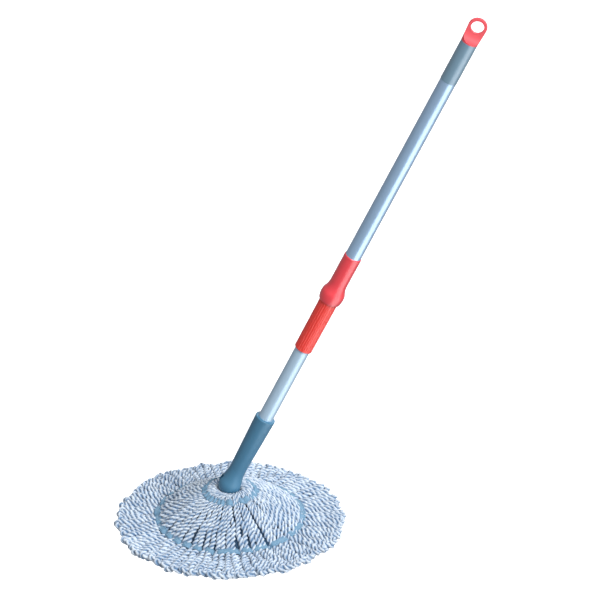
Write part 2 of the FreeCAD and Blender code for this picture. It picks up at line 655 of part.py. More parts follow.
def bulb_neck():
    """The hollow curve from the bulb to the sleeve's waist: where it leaves the bulb, and its middle.

    It touches the ball of the bulb, and is upright at the waist.
    """
    gap = BULB_RADIUS - SLEEVE_RADIUS_LOW
    radius = (SLEEVE_WAIST ** 2 / gap - BULB_RADIUS - SLEEVE_RADIUS_LOW) / 2
    centre = SLEEVE_RADIUS_LOW + radius
    angle = math.atan2(SLEEVE_WAIST, centre)
    start = (BULB_RADIUS * math.cos(angle), BULB_RADIUS * math.sin(angle))
    middle = (centre - radius * math.cos(angle / 2), SLEEVE_WAIST - radius * math.sin(angle / 2))
    return start, middle


def sleeve_screw_place():
    """The height of the screw's axis, and how far its head stands from the pole's axis."""
    height = SLEEVE_TOP * SLEEVE_SCREW_PLACE
    share = (height - SLEEVE_WAIST) / (SLEEVE_TOP - SLEEVE_WAIST)
    radius = SLEEVE_RADIUS_LOW + (SLEEVE_RADIUS_HIGH - SLEEVE_RADIUS_LOW) * share
    return height, radius - SCREW_HEAD_SUNK


def sleeve_screw():
    """The screw at the back of the sleeve that holds it on the lower tube."""
    height, top = sleeve_screw_place()
    under_head = top - SCREW_HEAD_HEIGHT
    shank = pin(SLEEVE_SCREW_RADIUS, LOWER_TUBE_BORE - SLEEVE_SCREW_INSIDE, under_head + 0.5, height)
    head = pin(SCREW_HEAD_RADIUS, under_head, top, height)
    return shank.fuse(head).removeSplitter()


def sleeve_screw_mouth():
    """The space above the screw's head, open to the outside."""
    height, top = sleeve_screw_place()
    return pin(SCREW_HEAD_RADIUS, top, 2 * BULB_RADIUS, height)


def hinge_pin():
    """The steel pin that the head tilts on."""
    return pin(HINGE_PIN_RADIUS, -HINGE_PIN_HALF, HINGE_PIN_HALF, 0)


# ---------------------------------------------------------------- mop head


def head_knuckle():
    """The tongue that hangs on the hinge pin, with a flange and spigot in the head plate."""
    eye = pin(EYE_RADIUS, -TONGUE_HALF, TONGUE_HALF, HINGE_HEIGHT)
    stem_width = 2 * (EYE_RADIUS - KNUCKLE_STEM_INSET)
    stem = block(stem_width, 2 * TONGUE_HALF, KNUCKLE_BASE - 1, HINGE_HEIGHT)
    flange = disc(HUB_RADIUS - KNUCKLE_INSET, HUB_TOP, KNUCKLE_BASE)
    spigot = disc(KNUCKLE_SPIGOT_RADIUS, HUB_TOP - KNUCKLE_SPIGOT_DEPTH, HUB_TOP)
    bore = pin(HINGE_PIN_RADIUS + RUNNING_FIT, -EYE_RADIUS, EYE_RADIUS, HINGE_HEIGHT)
    body = eye.fuse([stem, flange, spigot]).removeSplitter()
    return body.cut([bore] + knuckle_screws())


def knuckle_screws():
    """Four screws through the knuckle's flange into the plate's hub."""
    circle = HUB_RADIUS - KNUCKLE_SCREW_INSET
    shank = disc(KNUCKLE_SCREW_RADIUS, KNUCKLE_BASE - KNUCKLE_SCREW_LENGTH, KNUCKLE_BASE)
    head = disc(KNUCKLE_HEAD_RADIUS, KNUCKLE_BASE - KNUCKLE_HEAD_HEIGHT, KNUCKLE_BASE)
    screw = shank.fuse(head).removeSplitter()
    screw.translate(X_AXIS * circle)
    return around(screw, KNUCKLE_SCREWS, 180.0 / KNUCKLE_SCREWS)


def head_plate():
    """The moulded plate inside the head: a ribbed disc with a hub and a rim turned down."""
    body = turned(
        (0, PLATE_BOTTOM),
        (PLATE_RADIUS - PLATE_RIM, PLATE_BOTTOM),
        (PLATE_RADIUS - PLATE_RIM, PLATE_FOOT),
        (PLATE_RADIUS, PLATE_FOOT),
        (PLATE_RADIUS, PLATE_TOP),
        (HUB_RADIUS, PLATE_TOP),
        (HUB_RADIUS, HUB_TOP),
        (0, HUB_TOP),
    )
    rib = outline_face(
        (HUB_RADIUS - 1, PLATE_TOP - 1),
        (PLATE_RADIUS - RIB_INSET, PLATE_TOP - 1),
        (PLATE_RADIUS - RIB_INSET, PLATE_TOP + 1),
        (HUB_RADIUS - 1, HUB_TOP - RIB_INSET),
    ).extrude(Y_AXIS * RIB_THICKNESS)
    rib.translate(Y_AXIS * -RIB_THICKNESS / 2)
    spigot_hole = disc(KNUCKLE_SPIGOT_RADIUS, HUB_TOP - KNUCKLE_SPIGOT_DEPTH, HUB_TOP + 1)
    body = body.fuse(around(rib, PLATE_RIBS)).removeSplitter()
    return body.cut([spigot_hole] + knuckle_screws())


def refill_ring():
    """The plastic ring that the yarn is gathered in and that snaps round the plate's rim."""
    return turned(
        (PLATE_RADIUS - REFILL_INSET, YARN_THICKNESS),
        (REFILL_RADIUS, YARN_THICKNESS),
        (REFILL_RADIUS, PLATE_TOP),
        (PLATE_RADIUS, PLATE_TOP),
        (PLATE_RADIUS, PLATE_FOOT),
        (PLATE_RADIUS - REFILL_INSET, PLATE_FOOT),
    )


def dome_height(radius):
    """The height of the yarn's straight slope at a radius."""
    return INNER_TAPE_HEIGHT - (radius - INNER_TAPE_RADIUS) * math.tan(DOME_SLOPE)


def outer_tape_edges():
    """The radii and heights that the outer tape lies between."""
    inner = (OUTER_TAPE_RADIUS - OUTER_TAPE_HALF_RUN, OUTER_TAPE_HEIGHT + OUTER_TAPE_HALF_FALL)
    outer = (OUTER_TAPE_RADIUS + OUTER_TAPE_HALF_RUN, OUTER_TAPE_HEIGHT - OUTER_TAPE_HALF_FALL)
    return inner, outer


def upper_yarn():
    """The domed upper layer of yarn: a crater round the bulb, then a slope down to the floor layer."""
    lip = CRATER_RADIUS + CRATER_LIP
    lip_height = dome_height(lip)
    tape_inner, tape_outer = outer_tape_edges()
    cavity = REFILL_RADIUS + YARN_ROOM
    return turned(
        (CRATER_RADIUS, CRATER_FLOOR),
        (CRATER_RADIUS, lip_height - CRATER_LIP),
        ((CRATER_RADIUS + 3, lip_height - 2.5), (lip, lip_height)),
        tape_inner,
        tape_outer,
        (tape_outer[0] + YARN_FOOT, YARN_THICKNESS),
        (cavity, YARN_THICKNESS),
        (cavity, PLATE_TOP + YARN_ROOM_ABOVE),
    )


def lower_yarn():
    """The flat layer of yarn that lies on the floor, with a round rim."""
    rim = YARN_THICKNESS / 2
    return turned(
        (0, 0),
        (HEAD_RADIUS - rim, 0),
        ((HEAD_RADIUS, rim), (HEAD_RADIUS - rim, YARN_THICKNESS)),
        (0, YARN_THICKNESS),
    )


def tape_on(inner, outer):
    """A flat woven ring that lies on the yarn between two points of its outline."""
    run, fall = outer[0] - inner[0], inner[1] - outer[1]
    width = math.hypot(run, fall)
    lift_out = TAPE_THICKNESS * fall / width
    lift_up = TAPE_THICKNESS * run / width
    return turned(
        inner,
        outer,
        (outer[0] + lift_out, outer[1] + lift_up),
        (inner[0] + lift_out, inner[1] + lift_up),
    )


def inner_tape():
    """The woven tape that is sewn over the yarn near the top of the dome."""
    half_run = INNER_TAPE_WIDTH / 2 * math.cos(DOME_SLOPE)
    near = INNER_TAPE_RADIUS - half_run
    far = INNER_TAPE_RADIUS + half_run
    return tape_on((near, dome_height(near)), (far, dome_height(far)))


def outer_tape():
    """The wider woven tape that is sewn over the yarn at the foot of the dome."""
    return tape_on(*outer_tape_edges())


# ---------------------------------------------------------------- all the pieces

POLE_PIECES = {
    "hang_cap": hang_cap,
    "end_grip": end_grip,
    "upper_tube": upper_tube,
    "rod_anchor": rod_anchor,
    "anchor_pin": anchor_pin,
    "twisted_rod": twisted_rod,
    "rod_stop": rod_stop,
    "grip_collar": grip_collar,
    "lock_core": lock_core,
    "lock_shoes": lock_shoes,
    "lock_grip": lock_grip,
    "glide_bush": glide_bush,
    "bush_clip": bush_clip,
    "clutch_housing": clutch_housing,
    "housing_cap": housing_cap,
    "ratchet_ring": ratchet_ring,
    "drive_nut": drive_nut,
    "clutch_spring": clutch_spring,
    "lower_tube": lower_tube,
    "socket_sleeve": socket_sleeve,
    "sleeve_screw": sleeve_screw,
    "hinge_pin": hinge_pin,
}
HEAD_PIECES = {
    "head_knuckle": head_knuckle,
    "knuckle_screws": knuckle_screws,
    "head_plate": head_plate,
    "refill_ring": refill_ring,
    "upper_yarn": upper_yarn,
    "lower_yarn": lower_yarn,
    "inner_tape": inner_tape,
    "outer_tape": outer_tape,
}


def write(name, made, place):
    """Writes one piece, or a group of like pieces, as a STEP file."""
    solids = made if isinstance(made, list) else [made]
    placed = [place(solid) for solid in solids]
    shape = placed[0] if len(placed) == 1 else Part.makeCompound(placed)
    shape.exportStep(f"parts/{name}.step")


def main():
    """Makes every piece and writes it."""
    os.makedirs("parts", exist_ok=True)
    for name, make in POLE_PIECES.items():
        write(name, make(), on_pole)
    for name, make in HEAD_PIECES.items():
        write(name, make(), lambda shape: shape)


main()
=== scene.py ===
"""Spin mop: the looks of its yarn head, tapes, tubes and grips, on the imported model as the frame.

Everything is in metres, in the frame's own axes: +Z up, the head's underside at zero, and its
centre at the origin. Sizes that a user would change are properties, given in the panel.
"""

import math

import bpy
import numpy as np
from bpy.props import FloatProperty, FloatVectorProperty, IntProperty, PointerProperty
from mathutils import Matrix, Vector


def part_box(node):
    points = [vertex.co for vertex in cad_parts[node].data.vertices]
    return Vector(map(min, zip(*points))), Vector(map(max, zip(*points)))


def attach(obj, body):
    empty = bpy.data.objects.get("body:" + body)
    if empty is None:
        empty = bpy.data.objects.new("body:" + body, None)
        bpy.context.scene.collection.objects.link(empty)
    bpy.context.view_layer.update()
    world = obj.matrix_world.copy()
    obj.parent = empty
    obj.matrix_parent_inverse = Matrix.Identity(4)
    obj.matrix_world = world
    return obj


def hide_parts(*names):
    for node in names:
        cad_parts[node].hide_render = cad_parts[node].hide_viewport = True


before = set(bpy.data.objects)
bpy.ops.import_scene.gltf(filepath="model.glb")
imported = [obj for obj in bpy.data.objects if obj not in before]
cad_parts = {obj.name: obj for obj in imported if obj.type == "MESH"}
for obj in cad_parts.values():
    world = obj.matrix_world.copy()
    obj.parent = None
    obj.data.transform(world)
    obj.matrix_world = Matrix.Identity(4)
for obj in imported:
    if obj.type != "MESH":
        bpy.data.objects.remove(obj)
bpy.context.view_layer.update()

bl_info = {
    "name": "Spin mop",
    "version": (1, 0, 0),
    "blender": (4, 5, 0),
    "location": "3D View > Sidebar > Spin mop",
    "description": "Makes the yarn, tapes, finishes and studio of a spin mop",
    "category": "Object",
}

MM = 0.001
TURN = 2 * math.pi

# Places that come from the frame
HEAD_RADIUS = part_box("lower_yarn")[1][0]
DOME_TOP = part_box("upper_yarn")[1][2]
# the middle of each tape: half its width, as it lies, in from its outer edge
INNER_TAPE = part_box("inner_tape")[1][0] - 4.7 * MM
OUTER_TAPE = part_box("outer_tape")[1][0] - 5.1 * MM
TAPE_WIDTH = 10 * MM
HINGE_HEIGHT = 65 * MM  # of the pin that the head tilts on, above the head's underside


def linear(hex_colour):
    """An sRGB hex value as linear red, green and blue."""
    parts = [((hex_colour >> shift) & 255) / 255 for shift in (16, 8, 0)]
    return [p / 12.92 if p <= 0.04045 else ((p + 0.055) / 1.055) ** 2.4 for p in parts]


def colour_property(name, description, hex_colour):
    """A colour that the user can change, with its default from an sRGB hex value."""
    return FloatVectorProperty(
        name=name, description=description, subtype="COLOR", size=3, min=0, max=1,
        default=linear(hex_colour),
    )


def length_property(name, description, default):
    """A length that the user can change, in metres."""
    return FloatProperty(
        name=name, description=description, default=default, min=0, unit="LENGTH", precision=5
    )


# ---------------------------------------------------------------- what a user can change


class MopYarnSettings(bpy.types.PropertyGroup):
    """Sizes and colours of the twisted yarn."""

    loops: IntProperty(
        name="Loops", description="Loops of yarn round the rim, in each layer", default=72, min=12
    )
    bundle: IntProperty(
        name="Loops in a bundle", description="Loops that the tape gathers together, on average",
        default=3, min=2,
    )
    ply_radius: length_property("Ply radius", "Half the thickness of one of the two plies", 2.4 * MM)
    ply_offset: length_property("Ply offset", "From the strand's middle to a ply's middle", 1.65 * MM)
    lay: length_property("Lay", "Length of strand in one whole turn of its plies", 14.5 * MM)
    step: length_property("Step", "Length between the rings of a ply's mesh", 1.6 * MM)
    # The crest colour is the yarn's own pale colour. The colour between the plies is partly the yarn's own
    # blue tint and partly painted shade.
    crest: colour_property("Crest colour", "Colour of the yarn where it stands proud", 0xDDE8F3)
    groove_shade: colour_property("Groove colour", "Colour of the yarn down between its plies", 0x6488AE)
    # The inner yarn colour is painted shade: the packed yarn is made dark so that the gaps between the
    # strands read as shadow.
    core: colour_property("Inner yarn colour", "Colour of the packed yarn below the strands", 0x2A4763)


class MopTapeSettings(bpy.types.PropertyGroup):
    """Sizes and colours of the two woven tapes."""

    thickness: length_property("Thickness", "Thickness of the woven tape", 0.9 * MM)
    dip: length_property("Dip", "How far the tape sinks between two bundles", 5.0 * MM)
    stitch: length_property("Stitch length", "Length of one stitch", 4.0 * MM)
    rib: length_property("Rib spacing", "Spacing of the tape's cross ribs", 0.9 * MM)
    weave: colour_property("Tape colour", "Colour of the woven polyester", 0x86B2D2)
    thread: colour_property("Thread colour", "Colour of the sewing thread", 0x5E8CB0)


class MopFinishSettings(bpy.types.PropertyGroup):
    """Colours of the hard pieces."""

    red: colour_property("Red ABS", "Fluted grip", 0xFC3A2E)
    collar: colour_property("Rose red ABS", "Collar and its sleeve", 0xFF4450)
    cap: colour_property("Red polypropylene", "Cap with the hanging ring", 0xFA5A64)
    socket: colour_property("Socket polypropylene", "Sleeve with the round bulb", 0x497F9F)
    end_grip: colour_property("End grip PVC", "Thin hand sleeve under the cap", 0x7A9DB3)
    upper_tube: colour_property("Upper tube enamel", "Paint of the outer tube", 0xA8C8E8)
    lower_tube: colour_property("Lower tube enamel", "Paint of the inner tube", 0xBCD8EE)


class MopStageSettings(bpy.types.PropertyGroup):
    """The camera and the studio."""

    elevation: FloatProperty(
        name="Elevation", description="Camera's height above the horizon",
        default=math.radians(26.95), subtype="ANGLE",
    )
    azimuth: FloatProperty(
        name="Azimuth", description="How far round the head the camera stands from straight in front",
        default=math.radians(6.3), subtype="ANGLE",
    )
    distance: length_property("Distance", "From the camera to the head", 6.0)
    lens: FloatProperty(
        name="Focal length", description="Focal length of the camera", default=250.8,
        subtype="DISTANCE_CAMERA",
    )
    aside: length_property("Aim aside", "How far the view's middle is to the right of the head", 0.1002)
    above: length_property("Aim above", "How far the view's middle is above the head", 0.3199)
    key_power: FloatProperty(name="Key light", description="Strength of the broad sun", default=2.95)
    rear_power: FloatProperty(name="Rear light", description="Strength of the sun behind", default=1.1)
    fill_power: FloatProperty(
        name="Fill light", description="Power of the soft light in front", default=4, unit="POWER"
    )
    strip_power: FloatProperty(
        name="Strip light", description="Power of the light that the pole mirrors", default=66, unit="POWER"
    )
    surround: FloatProperty(name="Surround", description="Strength of the pale surround", default=0.34)
    floor: colour_property("Floor colour", "Colour of the plain floor", 0xF7F8FA)
    drop: length_property(
        "Floor drop", "How far the floor is below the mop, so that the head has room to reach down", 0.34
    )


SETTINGS = {
    "mop_yarn": MopYarnSettings,
    "mop_tape": MopTapeSettings,
    "mop_finish": MopFinishSettings,
    "mop_stage": MopStageSettings,
}

# ---------------------------------------------------------------- meshes


def mesh_object(name, points, face_groups, uv=None, attributes=None):
    """Puts arrays into a mesh: points (n, 3), and groups of faces that each have one corner count.

    uv holds one (corners, 2) array for each group, and attributes one number for each point.
    """
    mesh = bpy.data.meshes.new(name)
    corners = np.concatenate([group.ravel() for group in face_groups]).astype(np.int32)
    counts = np.concatenate([np.full(len(group), group.shape[1]) for group in face_groups])
    starts = np.concatenate([[0], np.cumsum(counts)[:-1]]).astype(np.int32)
    mesh.vertices.add(len(points))
    mesh.vertices.foreach_set("co", np.asarray(points, np.float32).ravel())
    mesh.loops.add(len(corners))
    mesh.loops.foreach_set("vertex_index", corners)
    mesh.polygons.add(len(counts))
    mesh.polygons.foreach_set("loop_start", starts)
    mesh.polygons.foreach_set("use_smooth", np.ones(len(counts), bool))
    if uv is not None:
        places = np.concatenate([u.reshape(-1, 2) for u in uv]).astype(np.float32)
        mesh.uv_layers.new(name="UVMap").data.foreach_set("uv", places.ravel())
    for label, values in (attributes or {}).items():
        attribute = mesh.attributes.new(label, "FLOAT", "POINT")
        attribute.data.foreach_set("value", values.astype(np.float32).ravel())
    mesh.update(calc_edges=True)
    mesh.validate()
    piece = bpy.data.objects.new(name, mesh)
    bpy.context.scene.collection.objects.link(piece)
    return piece


def grid_faces(rows, columns, wrap_rows, wrap_columns):
    """The quads of a grid of points, as (faces, 4), and their (row, column) corners before wrapping."""
    r, c = np.meshgrid(
        np.arange(rows if wrap_rows else rows - 1), np.arange(columns if wrap_columns else columns - 1),
        indexing="ij",
    )
    r, c = r.ravel(), c.ravel()
    corner_rows = np.stack([r, r, r + 1, r + 1], axis=1)
    corner_columns = np.stack([c, c + 1, c + 1, c], axis=1)
    return (corner_rows % rows) * columns + corner_columns % columns, corner_rows, corner_columns


def tubes(name, centres, side, up, radius, sides, along, attributes=None):
    """Closed round tubes along many paths at once.

    centres, side and up are (tubes, rings, 3), and radius and along are (tubes, rings). A ring's
    points are centre + radius times (cos a * side + sin a * up), for a in equal steps. Each tube's
    two ends are closed. attributes hold one number for each point, as (tubes, rings, sides).
    """
    count, rings = centres.shape[:2]
    angle = np.arange(sides) * TURN / sides
    spoke = side[:, :, None] * np.cos(angle)[:, None] + up[:, :, None] * np.sin(angle)[:, None]
    points = centres[:, :, None] + spoke * radius[:, :, None, None]
    quads, corner_rows, corner_columns = grid_faces(rings, sides, False, True)
    first = (np.arange(count) * rings * sides)[:, None, None]
    start_cap = np.arange(sides)[::-1][None, None] + first
    end_cap = ((rings - 1) * sides + np.arange(sides))[None, None] + first
    uv_quads = np.stack(
        [along[:, corner_rows], np.broadcast_to(corner_columns / sides, (count,) + corner_columns.shape)],
        axis=-1,
    )
    caps = np.zeros((2 * count, sides, 2))
    return mesh_object(
        name, points.reshape(-1, 3),
        [(quads[None] + first).reshape(-1, 4), np.concatenate([start_cap, end_cap]).reshape(-1, sides)],
        [uv_quads, caps], attributes,
    )


def evenly(path, count):
    """Points spaced evenly along polylines, and their lengths so far.

    path is (paths, points, 3 or more): numbers after the first three are carried along.
    """
    steps = np.linalg.norm(np.diff(path[..., :3], axis=1), axis=2)
    length = np.concatenate([np.zeros((len(path), 1)), np.cumsum(steps, axis=1)], axis=1)
    wanted = np.linspace(0, 1, count)[None] * length[:, -1:]
    low = (length[:, None] <= wanted[:, :, None]).sum(axis=2).clip(1, path.shape[1] - 1) - 1
    row = np.arange(len(path))[:, None]
    share = (wanted - length[row, low]) / np.maximum(length[row, low + 1] - length[row, low], 1e-12)
    return path[row, low] + (path[row, low + 1] - path[row, low]) * share[:, :, None], wanted


def unit(vectors):
    """Vectors scaled to length one."""
    return vectors / np.maximum(np.linalg.norm(vectors, axis=-1, keepdims=True), 1e-12)


def smooth_curve(knots, values, at):
    """A curve through knots with no overshoot: cubic between them, with limited slopes."""
    knots, values = np.asarray(knots, float), np.asarray(values, float)
    slope = np.diff(values) / np.diff(knots)
    before, after = slope[:-1], slope[1:]
    middle = np.where(before * after > 0, 2 * before * after / (before + after + 1e-12), 0)
    tangent = np.concatenate([[slope[0]], middle, [slope[-1]]])
    i = (np.searchsorted(knots, at, "right") - 1).clip(0, len(knots) - 2)
    h = knots[i + 1] - knots[i]
    t = ((at - knots[i]) / h).clip(0, 1)
    return (
        values[i] * (1 + 2 * t) * (1 - t) ** 2 + values[i + 1] * t * t * (3 - 2 * t)
        + h * tangent[i] * t * (1 - t) ** 2 - h * tangent[i + 1] * t * t * (1 - t)
    )


# ---------------------------------------------------------------- materials


def add_node(material, kind, inputs=None, **settings):
    """Adds a node with its settings, and fills its inputs with values or other nodes' outputs."""
    tree = material.node_tree
    node = tree.nodes.new(kind)
    for name, value in settings.items():
        setattr(node, name, value)
    for name, value in (inputs or {}).items():
        if isinstance(value, bpy.types.NodeSocket):
            tree.links.new(value, node.inputs[name])
        else:
            node.inputs[name].default_value = value
    return node


def new_material(name):
    """An empty node material."""
    material = bpy.data.materials.new(name)
    material.use_nodes = True
    material.node_tree.nodes.clear()
    return material


def finish_material(material, inputs):
    """Ends a material in a Principled BSDF with these inputs."""
    shader = add_node(material, "ShaderNodeBsdfPrincipled", inputs)
    add_node(material, "ShaderNodeOutputMaterial", {"Surface": shader.outputs["BSDF"]})
    return material


def noise(material, place, scale, detail=2.0):
    """Noise at a place, with this many waves in one unit of it."""
    node = add_node(material, "ShaderNodeTexNoise", {"Vector": place, "Scale": scale, "Detail": detail})
    return node.outputs["Fac"]


def blend(material, factor, low, high):
    """A colour between two others."""
    node = add_node(
        material, "ShaderNodeMix", {"Factor": factor, "A": low, "B": high}, data_type="RGBA"
    )
    return node.outputs["Result"]


def rescale(material, value, from_range, to_range):
    """A value carried from one range to another, and kept in it."""
    return add_node(material, "ShaderNodeMapRange", {
        "Value": value, "From Min": from_range[0], "From Max": from_range[1],
        "To Min": to_range[0], "To Max": to_range[1],
    }).outputs["Result"]


def multiply_add(material, value, factor, addend):
    """A value times a factor, plus another number."""
    node = add_node(material, "ShaderNodeMath", {0: value, 1: factor, 2: addend}, operation="MULTIPLY_ADD")
    return node.outputs[0]


def bumped(material, height, strength, distance):
    """The surface's normal, tipped as a height texture says."""
    inputs = {"Height": height, "Strength": strength, "Distance": distance}
    return add_node(material, "ShaderNodeBump", inputs).outputs["Normal"]


def object_place(material):
    """A point's place in the object's own axes, in metres."""
    return add_node(material, "ShaderNodeTexCoord").outputs["Object"]


def rgba(colour):
    """A colour property as red, green, blue and one."""
    return (*colour, 1.0)


def shade(colour, factor):
    """A colour made lighter or darker, as red, green, blue and one."""
    return (*[min(1.0, c * factor) for c in colour], 1.0)


def enamelled_steel(name, colour, metallic, gloss):
    """Enamel on drawn steel tube: an even colour under a hard shine, with slight orange peel."""
    material = new_material(name)
    place = object_place(material)
    # faint clouding of the paint, about 60 mm across
    cloud = noise(material, place, 16.0)
    # handling marks that dull the shine here and there, about 12 mm across
    smudge = noise(material, place, 80.0, 3.0)
    # orange peel with waves 1.4 mm apart
    peel = noise(material, place, 1 / (1.4 * MM), 1.0)
    return finish_material(material, {
        "Base Color": blend(material, cloud, shade(colour, 0.95), shade(colour, 1.05)),
        "Roughness": rescale(material, smudge, (0.35, 0.75), (0.30, 0.40)),
        "Metallic": metallic, "Coat Weight": gloss, "Coat Roughness": 0.20,
        "Normal": bumped(material, peel, 0.015, 0.1 * MM),
    })


def moulded_plastic(name, colour, roughness, grain, height, gloss=0.0):
    """Injection moulded plastic: one colour, with a fine spark-eroded grain that softens the shine."""
    material = new_material(name)
    place = object_place(material)
    # flow marks, about 25 mm across
    flow = noise(material, place, 40.0)
    texture = noise(material, place, 1 / grain)
    return finish_material(material, {
        "Base Color": blend(material, flow, shade(colour, 0.95), shade(colour, 1.05)),
        "Roughness": rescale(material, texture, (0.3, 0.7), (roughness - 0.04, roughness + 0.05)),
        "Normal": bumped(material, texture, 0.25, height),
        "IOR": 1.5, "Coat Weight": gloss, "Coat Roughness": 0.28,
    })


def machined_steel(name, colour, roughness):
    """Zinc plated or spring steel: bright metal with fine drawn scratches."""
    material = new_material(name)
    # scratches 0.3 mm apart
    scratch = noise(material, object_place(material), 1 / (0.3 * MM))
    return finish_material(material, {
        "Base Color": rgba(colour), "Metallic": 1.0,
        "Roughness": rescale(material, scratch, (0.0, 1.0), (roughness - 0.06, roughness + 0.10)),
    })


def twisted_yarn(name, crest, groove_shade):
    """Soft spun microfibre yarn: pale on its crests, with painted shade down between its plies.

    The mesh's own number for this runs from 0 down between the plies to 1 on a crest. The colour between
    the plies is partly the yarn's own blue tint and partly painted shade.
    """
    material = new_material(name)
    unshaded = add_node(material, "ShaderNodeAttribute", attribute_name="unshaded").outputs["Fac"]
    uv = add_node(material, "ShaderNodeUVMap", uv_map="UVMap").outputs["UV"]
    # fibres 0.5 mm wide and 6 mm long, coarser than real ones so that they show; the map's u is in
    # centimetres along the ply and its v is one turn round it, about 15 mm
    stretch = add_node(
        material, "ShaderNodeMapping", {"Vector": uv, "Scale": (1.7, 30.0, 1.0), "Rotation": (0, 0, 0.05)}
    )
    fibre = noise(material, stretch.outputs["Vector"], 1.0)
    # dye patches about 14 mm across
    patch = noise(material, object_place(material), 70.0)
    # both tints swing about zero, and move the yarn towards its crest colour or towards the colour of its
    # painted shade between the plies
    worn = add_node(material, "ShaderNodeMath", {
        0: multiply_add(material, patch, 1.1, -0.58), 1: multiply_add(material, fibre, 0.5, -0.25),
    }, operation="ADD").outputs[0]
    # painted shade: down between its plies the yarn takes the darker colour, and on its crests the pale one
    share = add_node(material, "ShaderNodeMath", {0: unshaded, 1: worn}, operation="ADD", use_clamp=True)
    return finish_material(material, {
        "Base Color": blend(material, share.outputs[0], rgba(groove_shade), rgba(crest)),
        "Normal": bumped(material, fibre, 0.6, 0.4 * MM), "Roughness": 0.85,
        "Sheen Weight": 0.25, "Sheen Roughness": 0.5, "Specular IOR Level": 0.25,
    })


def woven_tape(name, colour, rib):
    """Woven polyester tape: cross ribs with a fine warp over them."""
    material = new_material(name)
    uv = add_node(material, "ShaderNodeUVMap", uv_map="UVMap").outputs["UV"]
    # the map's u is in centimetres along the tape and its v is from one edge to the other
    ribs = add_node(
        material, "ShaderNodeTexWave", {"Vector": uv, "Scale": 10 * MM / rib / 2, "Distortion": 0.4},
        wave_type="BANDS", bands_direction="X",
    )
    warp = add_node(
        material, "ShaderNodeTexWave", {"Vector": uv, "Scale": 5.0, "Distortion": 0.2},
        wave_type="BANDS", bands_direction="Y",
    )
    cloth = add_node(
        material, "ShaderNodeMath", {0: ribs.outputs["Fac"], 1: warp.outputs["Fac"]}, operation="MULTIPLY"
    ).outputs[0]
    return finish_material(material, {
        "Base Color": blend(material, cloth, shade(colour, 0.72), shade(colour, 1.12)),
        "Normal": bumped(material, cloth, 0.7, 0.25 * MM), "Roughness": 0.7,
        "Sheen Weight": 0.15, "Sheen Roughness": 0.4,
    })


def sewing_thread(name, colour):
    """Spun polyester sewing thread: matt, with the twist too fine to draw."""
    return finish_material(new_material(name), {"Base Color": rgba(colour), "Roughness": 0.65})


def matt_floor(name, colour):
    """A plain white floor, lit a little from below as a light table is, so that it stays even."""
    return finish_material(new_material(name), {
        "Base Color": rgba(colour), "Roughness": 0.9,
        "Emission Color": rgba(colour), "Emission Strength": 0.55,
    })


# ---------------------------------------------------------------- the head's shape

# How deep and how wide a groove each tape presses into the yarn
INNER_GROOVE = 3.2 * MM, 4.5 * MM
OUTER_GROOVE = 3.4 * MM, 5.0 * MM

LOOP_POINTS = 90  # along each side of a loop, before it is resampled
BEND_POINTS = 16  # round its bend at the rim
BEND_REACH = 7 * MM  # how near the bend a loop widens to it
BACK_END = 98 * MM  # radius where a loop's way back ends, below the dome
PLY_SIDES = 8
FLOOR_GAP = 0.2 * MM  # below the lowest strand

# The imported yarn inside, from the crater's wall nearly to the rim
CORE_START, CORE_END = 20.5 * MM, 150 * MM
CORE_DEPTH = 6.0 * MM  # from the strands' crests down to its top
CORE_UNDERSIDE = 3.2 * MM
CORE_SWELL = 0.8 * MM  # half the height of its ribs, one for each loop


def press(radius, middle, width):
    """How hard a tape presses at a radius: one under its middle, and nothing away from it."""
    return np.exp(-((radius - middle) / width) ** 2)


def dome_surface(radius):
    """The height of the crests of the upper yarn at a radius: crater, lip, straight slope, then flat.

    The two tapes press it in.
    """
    top, foot = DOME_TOP / MM, OUTER_TAPE / MM
    outline = np.array([
        # the wall of the crater round the bulb, and its lip
        (13, top - 15), (14.5, top - 9), (16, top - 5), (17.5, top - 2.3), (20, top - 1.1), (24, top - 0.5),
        # over the lip, and down the slope
        (30, top - 0.9), (36, top - 3.6), (40.4, 54.0), (70, 37.5),
        # the foot of the slope under the outer tape, and the flat beyond it
        (foot - 12, 23.5), (foot - 4, 17.8), (foot + 6, 14.0), (foot + 18, 12.8), (150, 12.2), (170, 11.5),
    ]) * MM
    inner_depth, inner_width = INNER_GROOVE
    outer_depth, outer_width = OUTER_GROOVE
    return (
        smooth_curve(outline[:, 0], outline[:, 1], radius)
        - inner_depth * press(radius, INNER_TAPE, inner_width)
        - outer_depth * press(radius, OUTER_TAPE, outer_width)
    )


def bundles(settings):
    """Which loops a tape gathers together: for each loop its place from its bundle's middle and the
    bundle's size, and the loop number where each bundle begins."""
    random = np.random.default_rng(5)
    mean = settings.bundle
    sizes = random.choice([mean - 1, mean, mean, mean + 1], settings.loops)
    ends = np.cumsum(sizes)
    loop = np.arange(settings.loops)
    which = np.searchsorted(ends, loop, "right")
    first = ends[which] - sizes[which]
    last = np.minimum(ends[which], settings.loops)
    return loop - (first + last - 1) / 2, last - first, np.unique(first)


def strand_radius(settings):
    """Half the thickness of a strand that isn't squeezed."""
    return settings.ply_offset + settings.ply_radius


def strand_frame(points):
    """Directions across a strand: level to its side, and up out of the yarn, at every point."""
    tangent = unit(np.gradient(points, axis=1))
    outwards = unit(points * np.array([1.0, 1.0, 0.0]))
    # up leans outwards where the dome is steep, so that it never lines up with the strand
    up = unit(np.array([0.0, 0.0, 1.0]) + 0.45 * outwards)
    side = unit(np.cross(up, tangent))
    return side, np.cross(tangent, side)


